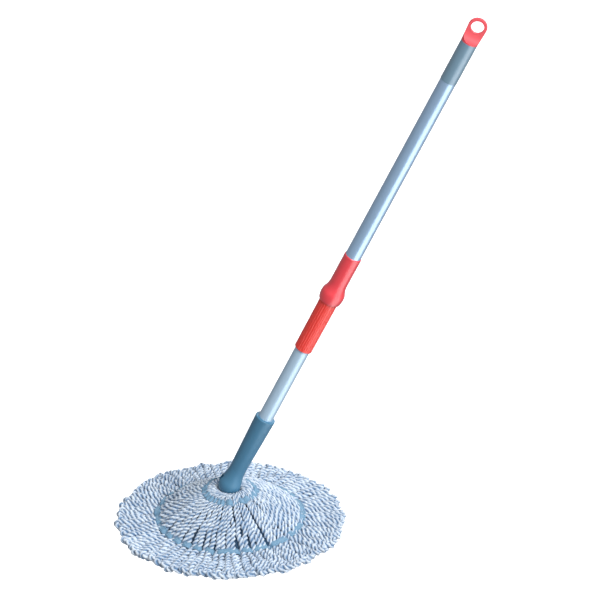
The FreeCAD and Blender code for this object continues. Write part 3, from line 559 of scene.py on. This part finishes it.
def plies(name, points, along, squeeze, phase, tone, settings):
    """Twists two round plies along each strand.

    A ply's middle circles the strand's middle once in each lay: at a length s along the strand its
    angle is TURN * s / lay + phase, and the second ply is half a turn further on. squeeze thins the
    strand where it is packed tight. A number on each point grows with its distance from the strand's
    middle, times the strand's own tone; it sets how much painted shade the point takes: all of it at 0,
    down between the plies, and none at 1, on a crest.
    """
    side, up = strand_frame(points)
    turn = TURN * along / settings.lay + phase[:, None]
    # the twist runs tighter and looser by turns, over 67 mm of strand
    turn += 0.7 * np.sin(TURN * along / (67 * MM) + 3 * phase[:, None])
    turn = np.concatenate([turn, turn + math.pi])
    side, up = np.concatenate([side, side]), np.concatenate([up, up])
    squeeze, along = np.concatenate([squeeze, squeeze]), np.concatenate([along, along])
    offset = settings.ply_offset * squeeze
    circle = np.cos(turn)[..., None] * side + np.sin(turn)[..., None] * up
    centres = np.concatenate([points, points]) + circle * offset[..., None]
    radius = settings.ply_radius * squeeze
    angle = np.arange(PLY_SIDES) * TURN / PLY_SIDES
    # distance of a ply's surface from the strand's middle, by the cosine rule, as a share of the most
    apart = np.cos(angle[None, None] - turn[..., None])
    reach = np.sqrt(settings.ply_offset ** 2 + settings.ply_radius ** 2
                    + 2 * settings.ply_offset * settings.ply_radius * apart)
    share = reach / strand_radius(settings)
    # all painted shade up to a share of 0.55, and all crest colour from 0.95
    unshaded = ((share - 0.55) / 0.4).clip(0, 1) * np.concatenate([tone, tone])[:, None, None]
    return tubes(name, centres, side, up, radius, PLY_SIDES, along / (10 * MM), {"unshaded": unshaded})


def loop_plan(settings, start, rim, turn_radius):
    """The plan of loops of yarn, as (radius, sideways) arrays: out along one side, round, and back.

    sideways is minus half a loop's own width on the way out and plus half on the way back, and the
    turn at the rim is half a circle a little wider than that, as a tight bight of yarn is. The third
    array is 0 on the way out and 1 on the way back, and runs from one to the other round the bend.
    """
    half_share = math.pi / 2 / settings.loops
    turn_middle = rim[:, None] - turn_radius
    out = start + (turn_middle - start) * np.linspace(0, 1, LOOP_POINTS)
    back = BACK_END + (turn_middle - BACK_END) * np.linspace(1, 0, LOOP_POINTS)
    bend = np.linspace(-0.5, 0.5, BEND_POINTS)[1:-1] * math.pi
    bend_radius = turn_middle + turn_radius * np.cos(bend)
    bend_side = np.broadcast_to(turn_radius * np.sin(bend), bend_radius.shape)

    def half_width(radius):
        own = radius * half_share
        return own + (turn_radius - own) * press(radius, turn_middle, BEND_REACH)

    radius = np.concatenate([out, bend_radius, back], axis=1)
    sideways = np.concatenate([-half_width(out), bend_side, half_width(back)], axis=1)
    returned = np.linspace(0, 1, BEND_POINTS)[1:-1]
    return radius, sideways, np.concatenate([np.zeros(LOOP_POINTS), returned, np.ones(LOOP_POINTS)])


def crowding(radius, settings, least):
    """How much a strand is squeezed at a radius: a loop's share of the circle over a strand's width,
    and 15 percent more, because strands press into each other."""
    width = 2 * strand_radius(settings)
    return (TURN * radius / settings.loops / width * 1.15).clip(least, 1.0)


def uneven(random, place, squeeze, settings):
    """Makes strands less even: slow waves in their line, their height and their thickness.

    The tapes and the lip of the crater hold them still.
    """
    count = len(squeeze)
    far = np.cumsum(np.linalg.norm(np.diff(place, axis=1, prepend=place[:, :1]), axis=2), axis=1)
    radius = np.hypot(place[..., 0], place[..., 1])
    loose = 1 - press(radius, INNER_TAPE, 9 * MM) - press(radius, OUTER_TAPE, 7 * MM)
    loose = loose * smooth_curve([0, 25 * MM, 60 * MM, 200 * MM], [0, 0, 1, 1], radius)

    def wave(length, size):
        start = random.uniform(0, TURN, (count, 1))
        reach = random.uniform(0.4, 1.0, (count, 1)) * size
        return reach * np.sin(TURN * far / (length * random.uniform(0.8, 1.25, (count, 1))) + start)

    outwards = unit(place * np.array([1.0, 1.0, 0.0]))
    aside = np.cross(np.array([0, 0, 1.0]), outwards)
    place = place + aside * (loose * (wave(24 * MM, 0.7 * MM) + wave(37 * MM, 0.9 * MM)))[..., None]
    place[..., 2] += loose * wave(31 * MM, 1.0 * MM)
    squeeze = squeeze * (1 + loose * wave(27 * MM, 0.10))
    place[..., 2] = np.maximum(place[..., 2], strand_radius(settings) * squeeze + FLOOR_GAP)
    return place, squeeze


def meander(random, radius, lengths, size):
    """A slow wander to the side, different for each loop, that grows towards the rim."""
    wander = random.uniform(-1, 1, (len(radius), len(lengths)))
    waves = [
        wander[:, k:k + 1] * np.sin(TURN * radius / length + 5 * wander[:, k:k + 1])
        for k, length in enumerate(lengths)
    ]
    return size * sum(waves) * radius / HEAD_RADIUS


def set_round(radius, sideways, height, angle):
    """Turns plan lines (radius, sideways) about Z, each by its own angle, at their heights."""
    return np.stack([
        radius * np.cos(angle) - sideways * np.sin(angle),
        radius * np.sin(angle) + sideways * np.cos(angle),
        height + 0 * radius,
    ], axis=-1)


def upper_loops(settings):
    """The centre lines of the upper loops, from the crater over the dome to the rim and back under."""
    random = np.random.default_rng(7)
    count = settings.loops
    rim = HEAD_RADIUS - 4.5 * MM + random.uniform(-4.0, 2.5, count) * MM
    radius, sideways, returned = loop_plan(settings, 14 * MM, rim, 4.3 * MM)
    inside, size, _ = bundles(settings)
    pitch = TURN / count
    # the tapes pull each bundle's strands together, most of all right under the tape
    gather = 0.17 * press(radius, OUTER_TAPE, 34 * MM) + 0.26 * press(radius, INNER_TAPE, 20 * MM)
    own = (np.arange(count) + 0.5 + random.uniform(-0.14, 0.14, count)) * pitch
    angle = own[:, None] - inside[:, None] * gather * pitch
    sideways = sideways + meander(random, radius, (62 * MM, 41 * MM, 97 * MM), 1.2 * MM)
    squeeze = crowding(radius, settings, 0.45)
    thick = strand_radius(settings) * squeeze
    # a bundle is highest in its middle, and each loop has a height of its own
    crown = 1.9 - 3.8 * np.abs(inside / size)[:, None]
    loose = 1 - press(radius, INNER_TAPE, 9 * MM)
    crown = crown * press(radius, 103 * MM, 50 * MM) + loose * random.uniform(-0.8, 0.8, (count, 1))
    out_height = dome_surface(radius) + crown * MM - thick
    # the way back lies lower, and dives under the dome
    back_height = smooth_curve(
        np.array([95, 108, 122, 140, 175]) * MM, np.array([5.5, 5.8, 6.2, 6.8, 6.6]) * MM, radius
    )
    height = out_height * (1 - returned) + back_height * returned
    place = set_round(radius, sideways, height, angle)
    return uneven(random, place, squeeze, settings)


def lower_loops(settings):
    """The centre lines of the loops that lie on the floor, from the middle to the rim and back."""
    random = np.random.default_rng(11)
    count = settings.loops
    rim = HEAD_RADIUS - 3.5 * MM + random.uniform(-6, 1.5, count) * MM
    radius, sideways, returned = loop_plan(settings, 2.5 * MM, rim, 4.2 * MM)
    sideways = sideways + meander(random, radius, (55 * MM, 83 * MM), 0.8 * MM)
    squeeze = crowding(radius, settings, 0.22)
    thick = strand_radius(settings) * squeeze
    back_height = smooth_curve(
        np.array([90, 110, 130, 175]) * MM, np.array([6.5, 5.6, 4.9, 4.7]) * MM, radius
    )
    angle = (np.arange(count) + 0.02)[:, None] * TURN / count
    place = set_round(radius, sideways, thick * (1 - returned) + back_height * returned, angle)
    return uneven(random, place, squeeze, settings)


def make_loops(name, place, squeeze, settings, seed, material):
    """Resamples loops evenly, twists their plies, and makes one piece of them."""
    length = np.linalg.norm(np.diff(place, axis=1), axis=2).sum(axis=1).max()
    count = int(length / settings.step) + 1
    marks, along = evenly(np.concatenate([place, squeeze[..., None]], axis=-1), count)
    points, squeeze = marks[..., :3], marks[..., 3]
    random = np.random.default_rng(seed)
    phase = random.uniform(0, TURN, len(points))
    tone = random.uniform(0.86, 1.0, len(points))
    piece = plies(name, points, along, squeeze, phase, tone, settings)
    piece.data.materials.append(material)
    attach(piece, "mop_head")
    return piece


def make_layer(layer, place, squeeze, settings, seeds, material):
    """Makes a layer of loops as two pieces, which stand for the layer's plain solid."""
    half = len(place) // 2
    for side, part, seed in zip(("left", "right"), (slice(half, None), slice(half)), seeds):
        piece = make_loops(f"yarn_{layer}_{side}", place[part], squeeze[part], settings, seed, material)
        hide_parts(f"{layer}_yarn")


def revolved_shell(name, outline, columns, ribs, height):
    """A closed shell about Z: outline is (points, 2) of radius and height, all the way round.

    Its radius and height swell by height * cos(ribs * angle) along the outline's own normal.
    """
    outline = np.asarray(outline)
    along = np.roll(outline, -1, axis=0) - np.roll(outline, 1, axis=0)
    normal = unit(np.stack([along[:, 1], -along[:, 0]], axis=1))
    angle = np.arange(columns) * TURN / columns
    swell = height * np.cos(ribs * angle)
    radius = outline[:, None, 0] + normal[:, None, 0] * swell
    level = outline[:, None, 1] + normal[:, None, 1] * swell
    points = np.stack([radius * np.cos(angle), radius * np.sin(angle), level * np.ones(columns)], axis=-1)
    quads, rows, cols = grid_faces(len(outline), columns, True, True)
    # like the yarn's own map: u in centimetres, near enough, and v in turns of about 15 mm
    uv = np.stack([rows * 0.3, cols / 12.0], axis=-1)
    flat = points.reshape(-1, 3)
    # the volume's sign says whether the faces look outwards
    a, b, c = (flat[quads[:, k]] for k in (0, 1, 2))
    if (a * np.cross(b, c)).sum() < 0:
        quads, uv = quads[:, ::-1], uv[:, ::-1]
    return mesh_object(name, flat, [quads], [uv])


# ---------------------------------------------------------------- the tapes

TAPE_COLUMNS = 1200
NOTCH_WIDTH = 3.1 * MM  # of the place where a tape sinks between two bundles
STITCH_INSET = 1.8 * MM  # from a tape's edge
THREAD_RADIUS = 0.32 * MM
THREAD_SIDES = 5


def tape_line(radius, drop, dip_share, lift, settings, yarn):
    """Where a tape lies: middle line, direction across it, direction out of the yarn, and length so far.

    It crowns over each bundle of loops and sinks into the gap between two bundles, by dip_share of
    the dip in its settings. It lies lift above the dome's surface, and falls by drop for each unit
    that it runs outwards.
    """
    columns = TAPE_COLUMNS
    random = np.random.default_rng(int(radius / MM))
    starts = bundles(yarn)[2]
    notch = starts * TURN / yarn.loops
    ends = np.append(notch[1:], notch[0] + TURN)
    angle = np.arange(columns) * TURN / columns + notch[0]
    which = np.searchsorted(ends, angle, "right").clip(0, len(notch) - 1)
    share = (angle - notch[which]) / (ends[which] - notch[which])
    depth = random.uniform(0.5, 1.25, len(notch) + 1)
    depth[-1] = depth[0]
    past, left = (angle - notch[which]) * radius, (ends[which] - angle) * radius
    dip = dip_share * (
        depth[which] * press(past, 0, NOTCH_WIDTH) + depth[which + 1] * press(left, 0, NOTCH_WIDTH)
    )
    crown = np.sin(math.pi * share)
    level = dome_surface(np.full(columns, radius)) + lift + 1.3 * MM * crown - settings.dip * dip
    wander = sum(
        random.uniform(0.3, 0.9) * np.sin(waves * angle + random.uniform(0, TURN))
        for waves in (3, 5, 8, 13)
    )
    run = radius - 1.4 * MM * dip + (0.7 * crown + wander) * MM
    outwards = np.stack([np.cos(angle), np.sin(angle), np.zeros(columns)], axis=-1)
    upwards = np.array([0, 0, 1.0])
    lean = math.atan(drop)
    across = outwards * math.cos(lean) - upwards * math.sin(lean)
    away = outwards * math.sin(lean) + upwards * math.cos(lean)
    middle = outwards * run[:, None] + upwards * level[:, None]
    along = np.linalg.norm(np.roll(middle, -1, axis=0) - middle, axis=1)
    return middle, across, away, np.concatenate([[0], np.cumsum(along)])


def finish_tape(piece, material):
    """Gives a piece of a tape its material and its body."""
    piece.data.materials.append(material)
    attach(piece, "mop_head")
    return piece


def tape_piece(name, line, settings, material):
    """A woven tape: a flat section with rounded edges, carried round its line."""
    middle, across, away, along = line
    half, thick = TAPE_WIDTH / 2, settings.thickness / 2
    spread = np.array([-1, -0.96, -0.5, 0, 0.5, 0.96, 1, 0.96, 0.5, 0, -0.5, -0.96])
    rise = np.array([0, 1, 1.15, 1, 1.15, 1, 0, -1, -1, -1, -1, -1])
    points = (
        middle[:, None] + across[:, None] * (spread * half)[:, None]
        + away[:, None] * (rise * thick + thick)[:, None]
    )
    rows, columns = points.shape[:2]
    quads, corner_rows, corner_columns = grid_faces(rows, columns, True, True)
    share = np.append((spread + 1) / 2, 0.0)
    uv = np.stack([along[corner_rows] / (10 * MM), share[corner_columns]], axis=-1)
    piece = mesh_object(name, points.reshape(-1, 3), [quads[:, ::-1]], [uv[:, ::-1]])
    return finish_tape(piece, material)


def stitch_row(name, line, settings, material):
    """Two rows of stitches, one near each edge: short threads that rise out of the tape and go back."""
    middle, across, away, along = line
    count = int(along[-1] / settings.stitch)
    start = np.arange(count) * along[-1] / count
    # five points of a stitch: how far along it each is, and its height over the tape
    part = np.array([0.06, 0.18, 0.5, 0.68, 0.80])
    height = np.array([-0.2, 0.22, 0.3, 0.22, -0.2]) * MM
    where = (start[:, None] + part * along[-1] / count) / along[-1] * len(middle)
    low = where.astype(int) % len(middle)
    share = (where % 1)[..., None]

    def at(values):
        return values[low] * (1 - share) + values[(low + 1) % len(middle)] * share

    rows = []
    for edge in (-1, 1):
        offset = at(across) * edge * (TAPE_WIDTH / 2 - STITCH_INSET)
        rows.append(at(middle) + offset + at(away) * (height + settings.thickness)[None, :, None])
    centres = np.concatenate(rows)
    up = np.concatenate([at(away)] * 2)
    side = unit(np.cross(up, np.gradient(centres, axis=1)))
    radius = np.full(centres.shape[:2], THREAD_RADIUS)
    piece = tubes(name, centres, side, up, radius, THREAD_SIDES, np.zeros(centres.shape[:2]))
    return finish_tape(piece, material)


# ---------------------------------------------------------------- operators


class MopUpperYarn(bpy.types.Operator):
    """Makes the upper loops of yarn that cover the dome"""

    bl_idname = "object.mop_upper_yarn"
    bl_label = "Upper yarn"

    def execute(self, context):
        settings = context.scene.mop_yarn
        material = twisted_yarn("twisted_yarn_painted_groove_shade", settings.crest, settings.groove_shade)
        make_layer("upper", *upper_loops(settings), settings, (21, 22), material)
        return {"FINISHED"}


class MopLowerYarn(bpy.types.Operator):
    """Makes the lower loops of yarn that lie on the floor"""

    bl_idname = "object.mop_lower_yarn"
    bl_label = "Lower yarn"

    def execute(self, context):
        settings = context.scene.mop_yarn
        material = bpy.data.materials["twisted_yarn_painted_groove_shade"]
        make_layer("lower", *lower_loops(settings), settings, (31, 32), material)
        return {"FINISHED"}


class MopInnerYarn(bpy.types.Operator):
    """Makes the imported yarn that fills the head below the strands"""

    bl_idname = "object.mop_inner_yarn"
    bl_label = "Inner yarn"

    def execute(self, context):
        settings = context.scene.mop_yarn
        # painted shade: the packed yarn takes one dark colour all over, as the shadow in the gaps between
        # the strands
        material = twisted_yarn("packed_yarn_painted_shade", settings.core, settings.core)
        # out along the top, and back along a level underside
        out, back = np.linspace(CORE_START, CORE_END, 60), np.linspace(CORE_END, CORE_START, 40)
        top, bottom = dome_surface(out) - CORE_DEPTH, np.full(len(back), CORE_UNDERSIDE)
        outline = np.concatenate([np.stack([out, top], axis=1), np.stack([back, bottom], axis=1)])
        piece = revolved_shell("yarn_inner", outline, settings.loops * 8, settings.loops, CORE_SWELL)
        piece.data.materials.append(material)
        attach(piece, "mop_head")
        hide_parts("upper_yarn", "lower_yarn")
        return {"FINISHED"}


class MopTapes(bpy.types.Operator):
    """Makes the two woven tapes and their stitches"""

    bl_idname = "object.mop_tapes"
    bl_label = "Tapes"

    def execute(self, context):
        settings, yarn = context.scene.mop_tape, context.scene.mop_yarn
        weave = woven_tape("woven_polyester_tape", settings.weave, settings.rib)
        thread = sewing_thread("polyester_thread", settings.thread)
        for label, radius, drop, dip_share, lift in (
            ("inner", INNER_TAPE, 0.58, 0.5, 0.5 * MM),
            ("outer", OUTER_TAPE, 0.30, 1.0, 0.3 * MM),
        ):
            line = tape_line(radius, drop, dip_share, lift, settings, yarn)
            tape = tape_piece(f"tape_{label}", line, settings, weave)
            stitches = stitch_row(f"stitches_{label}", line, settings, thread)
            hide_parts(f"{label}_tape")
        return {"FINISHED"}


# Colours of the pieces inside
NYLON, ACETAL, PALE_PLASTIC, ZINC, SPRING_STEEL = (
    linear(code) for code in (0xE6E3D8, 0x8A8F96, 0xA9C6DA, 0xC4C8CC, 0x8F9296)
)


class MopFinishes(bpy.types.Operator):
    """Gives every hard piece its material"""

    bl_idname = "object.mop_finishes"
    bl_label = "Hard pieces' finishes"

    def execute(self, context):
        colours = context.scene.mop_finish
        # after the colour: roughness, size and height of the grain, and how much clear gloss is on it
        red = moulded_plastic("moulded_abs_red", colours.red, 0.34, 0.6 * MM, 0.02 * MM, 0.5)
        collar = moulded_plastic("moulded_abs_rose_red", colours.collar, 0.34, 0.6 * MM, 0.02 * MM, 0.7)
        cap = moulded_plastic("moulded_polypropylene_red", colours.cap, 0.55, 0.6 * MM, 0.04 * MM)
        socket = moulded_plastic("moulded_polypropylene_blue", colours.socket, 0.42, 0.5 * MM, 0.05 * MM)
        grip = moulded_plastic("soft_pvc_grip", colours.end_grip, 0.42, 0.8 * MM, 0.01 * MM, 1.0)
        nylon = moulded_plastic("moulded_nylon_natural", NYLON, 0.45, 0.5 * MM, 0.04 * MM)
        guide = moulded_plastic("moulded_acetal_grey", ACETAL, 0.38, 0.5 * MM, 0.03 * MM)
        plate = moulded_plastic("moulded_polypropylene_pale", PALE_PLASTIC, 0.35, 0.6 * MM, 0.04 * MM)
        zinc = machined_steel("zinc_plated_steel", ZINC, 0.30)
        spring = machined_steel("spring_steel", SPRING_STEEL, 0.28)
        # after the colour: how metallic it is, and how much clear gloss is on it
        gloss_enamel = enamelled_steel("gloss_enamelled_steel_blue", colours.upper_tube, 0.35, 0.8)
        satin_enamel = enamelled_steel("satin_enamelled_steel_blue", colours.lower_tube, 0.15, 0.2)
        finishes = {
            red: ("lock_grip",),
            collar: ("grip_collar",),
            cap: ("hang_cap",),
            socket: ("socket_sleeve", "head_knuckle"),
            grip: ("end_grip",),
            nylon: ("rod_anchor", "glide_bush", "clutch_housing", "housing_cap"),
            guide: ("lock_core", "lock_shoes"),
            plate: ("head_plate", "refill_ring"),
            zinc: ("anchor_pin", "twisted_rod", "rod_stop", "ratchet_ring", "drive_nut", "sleeve_screw",
                   "hinge_pin", "knuckle_screws"),
            spring: ("bush_clip", "clutch_spring"),
            gloss_enamel: ("upper_tube",),
            satin_enamel: ("lower_tube",),
        }
        for material, names in finishes.items():
            for name in names:
                for material_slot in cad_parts[name].material_slots:
                    material_slot.material = material
        return {"FINISHED"}


FLOOR_REACH = 20.0  # from its middle to each edge
SUN_SPREAD = math.radians(34)
KEY_PLACE, REAR_PLACE, FILL_PLACE = (2.3, -2.2, 2.7), (1.5, 2.6, 2.2), (-1.4, -3.0, 2.6)
FILL_SIZE = 2.6
STRIP_WIDTH, STRIP_LENGTH = 2.1, 3.4
STRIP_DISTANCE = 2.0  # from the pole
STRIP_LINE = math.radians(30)  # how far round the pole, from where it faces the camera, the shine is
SURROUND_COLOUR = (0.95, 0.97, 1.0, 1)


class MopStage(bpy.types.Operator):
    """Makes the floor, the lights and the camera"""

    bl_idname = "object.mop_stage"
    bl_label = "Stage"

    def execute(self, context):
        settings, scene = context.scene.mop_stage, context.scene
        self.make_floor(settings)
        elevation, azimuth = settings.elevation, settings.azimuth
        right = np.array([math.cos(azimuth), math.sin(azimuth), 0])
        front = np.array([math.sin(azimuth), -math.cos(azimuth), 0])
        back = front * math.cos(elevation) + np.array([0, 0, math.sin(elevation)])
        aim = right * settings.aside + np.array([0, 0, math.cos(elevation)]) * settings.above
        aim -= front * math.sin(elevation) * settings.above
        self.make_lights(settings, back)
        data = bpy.data.cameras.new("camera")
        data.lens, data.clip_end = settings.lens, 100
        camera = bpy.data.objects.new("camera", data)
        camera.location = aim + back * settings.distance
        camera.rotation_euler = (math.pi / 2 - elevation, 0, azimuth)
        scene.collection.objects.link(camera)
        scene.camera = camera
        scene.view_settings.view_transform = "Standard"
        return {"FINISHED"}

    def make_floor(self, settings):
        """A large plain square, below the lowest place that the head can reach."""
        corners = np.array([[-1, -1, 0], [1, -1, 0], [1, 1, 0], [-1, 1, 0]]) * FLOOR_REACH
        floor = mesh_object("floor", corners - [0, 0, settings.drop], [np.array([[0, 1, 2, 3]])])
        floor.data.materials.append(matt_floor("matt_floor", settings.floor))
        # it gives no light back to the mop, and lets the low light through
        floor.visible_diffuse = floor.visible_glossy = floor.visible_shadow = False

    def make_lights(self, settings, view):
        """Broad suns from the right and from behind, a soft fill, a strip along the pole, a pale surround.

        The strip is parallel to the pole, and stands where the pole mirrors it towards the camera from
        a line a little to the right of the pole's middle.
        """
        key = bpy.data.lights.new("key", "SUN")
        key.energy, key.angle = settings.key_power, SUN_SPREAD
        rear = bpy.data.lights.new("rear", "SUN")
        rear.energy, rear.angle = settings.rear_power, SUN_SPREAD
        fill = bpy.data.lights.new("fill", "AREA")
        fill.energy, fill.size = settings.fill_power, FILL_SIZE
        strip = bpy.data.lights.new("strip", "AREA")
        strip.shape, strip.size, strip.size_y = "RECTANGLE", STRIP_WIDTH, STRIP_LENGTH
        strip.energy = settings.strip_power
        middle = np.mean(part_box("lower_tube"), axis=0)
        pole = unit(np.array([middle[0], 0, middle[2] - HINGE_HEIGHT]))
        along = view @ pole
        facing = unit(view - along * pole)
        # a mirror turns a reflection by twice its own turn
        across = facing * math.cos(2 * STRIP_LINE) + np.cross(pole, facing) * math.sin(2 * STRIP_LINE)
        strip_place = middle + STRIP_DISTANCE * (across * math.sqrt(1 - along ** 2) - pole * along)
        upwards = (0, 0, 1)
        for data, place, towards, up in (
            (key, KEY_PLACE, KEY_PLACE, upwards),
            (rear, REAR_PLACE, REAR_PLACE, upwards),
            (fill, FILL_PLACE, FILL_PLACE, upwards),
            (strip, strip_place, across, pole),
        ):
            lamp = bpy.data.objects.new(data.name, data)
            side = unit(np.cross(up, towards))
            axes = np.stack([side, unit(np.cross(towards, side)), unit(np.array(towards))], axis=1)
            turned = np.eye(4)
            turned[:3, :3], turned[:3, 3] = axes, place
            lamp.matrix_world = Matrix(turned.tolist())
            lamp.visible_camera = False
            # the strip is there for its reflection only
            lamp.visible_diffuse = data is not strip
            bpy.context.scene.collection.objects.link(lamp)
        world = bpy.data.worlds.new("surround")
        world.use_nodes = True
        surround = world.node_tree.nodes["Background"]
        surround.inputs["Color"].default_value = SURROUND_COLOUR
        surround.inputs["Strength"].default_value = settings.surround
        bpy.context.scene.world = world


OPERATORS = (MopUpperYarn, MopLowerYarn, MopInnerYarn, MopTapes, MopFinishes, MopStage)


class MopPanel(bpy.types.Panel):
    """Lists the mop's sizes and colours, and what makes each piece"""

    bl_idname = "VIEW3D_PT_spin_mop"
    bl_label = "Spin mop"
    bl_space_type = "VIEW_3D"
    bl_region_type = "UI"
    bl_category = "Spin mop"

    def draw(self, context):
        for group in SETTINGS:
            box = self.layout.box()
            settings = getattr(context.scene, group)
            for name in settings.bl_rna.properties.keys():
                if name not in ("rna_type", "name"):
                    box.prop(settings, name)
        for operator in OPERATORS:
            self.layout.operator(operator.bl_idname)


def register():
    """Registers the settings, the operators and the panel."""
    for name, group in SETTINGS.items():
        bpy.utils.register_class(group)
        setattr(bpy.types.Scene, name, PointerProperty(type=group))
    for operator in OPERATORS:
        bpy.utils.register_class(operator)
    bpy.utils.register_class(MopPanel)


def unregister():
    """Undoes register, in the opposite order."""
    bpy.utils.unregister_class(MopPanel)
    for operator in reversed(OPERATORS):
        bpy.utils.unregister_class(operator)
    for name, group in reversed(SETTINGS.items()):
        delattr(bpy.types.Scene, name)
        bpy.utils.unregister_class(group)


def main():
    """Makes every piece in turn."""
    register()
    bpy.ops.object.mop_upper_yarn()
    bpy.ops.object.mop_lower_yarn()
    bpy.ops.object.mop_inner_yarn()
    bpy.ops.object.mop_tapes()
    bpy.ops.object.mop_finishes()
    bpy.ops.object.mop_stage()


if __name__ == "__main__":
    main()
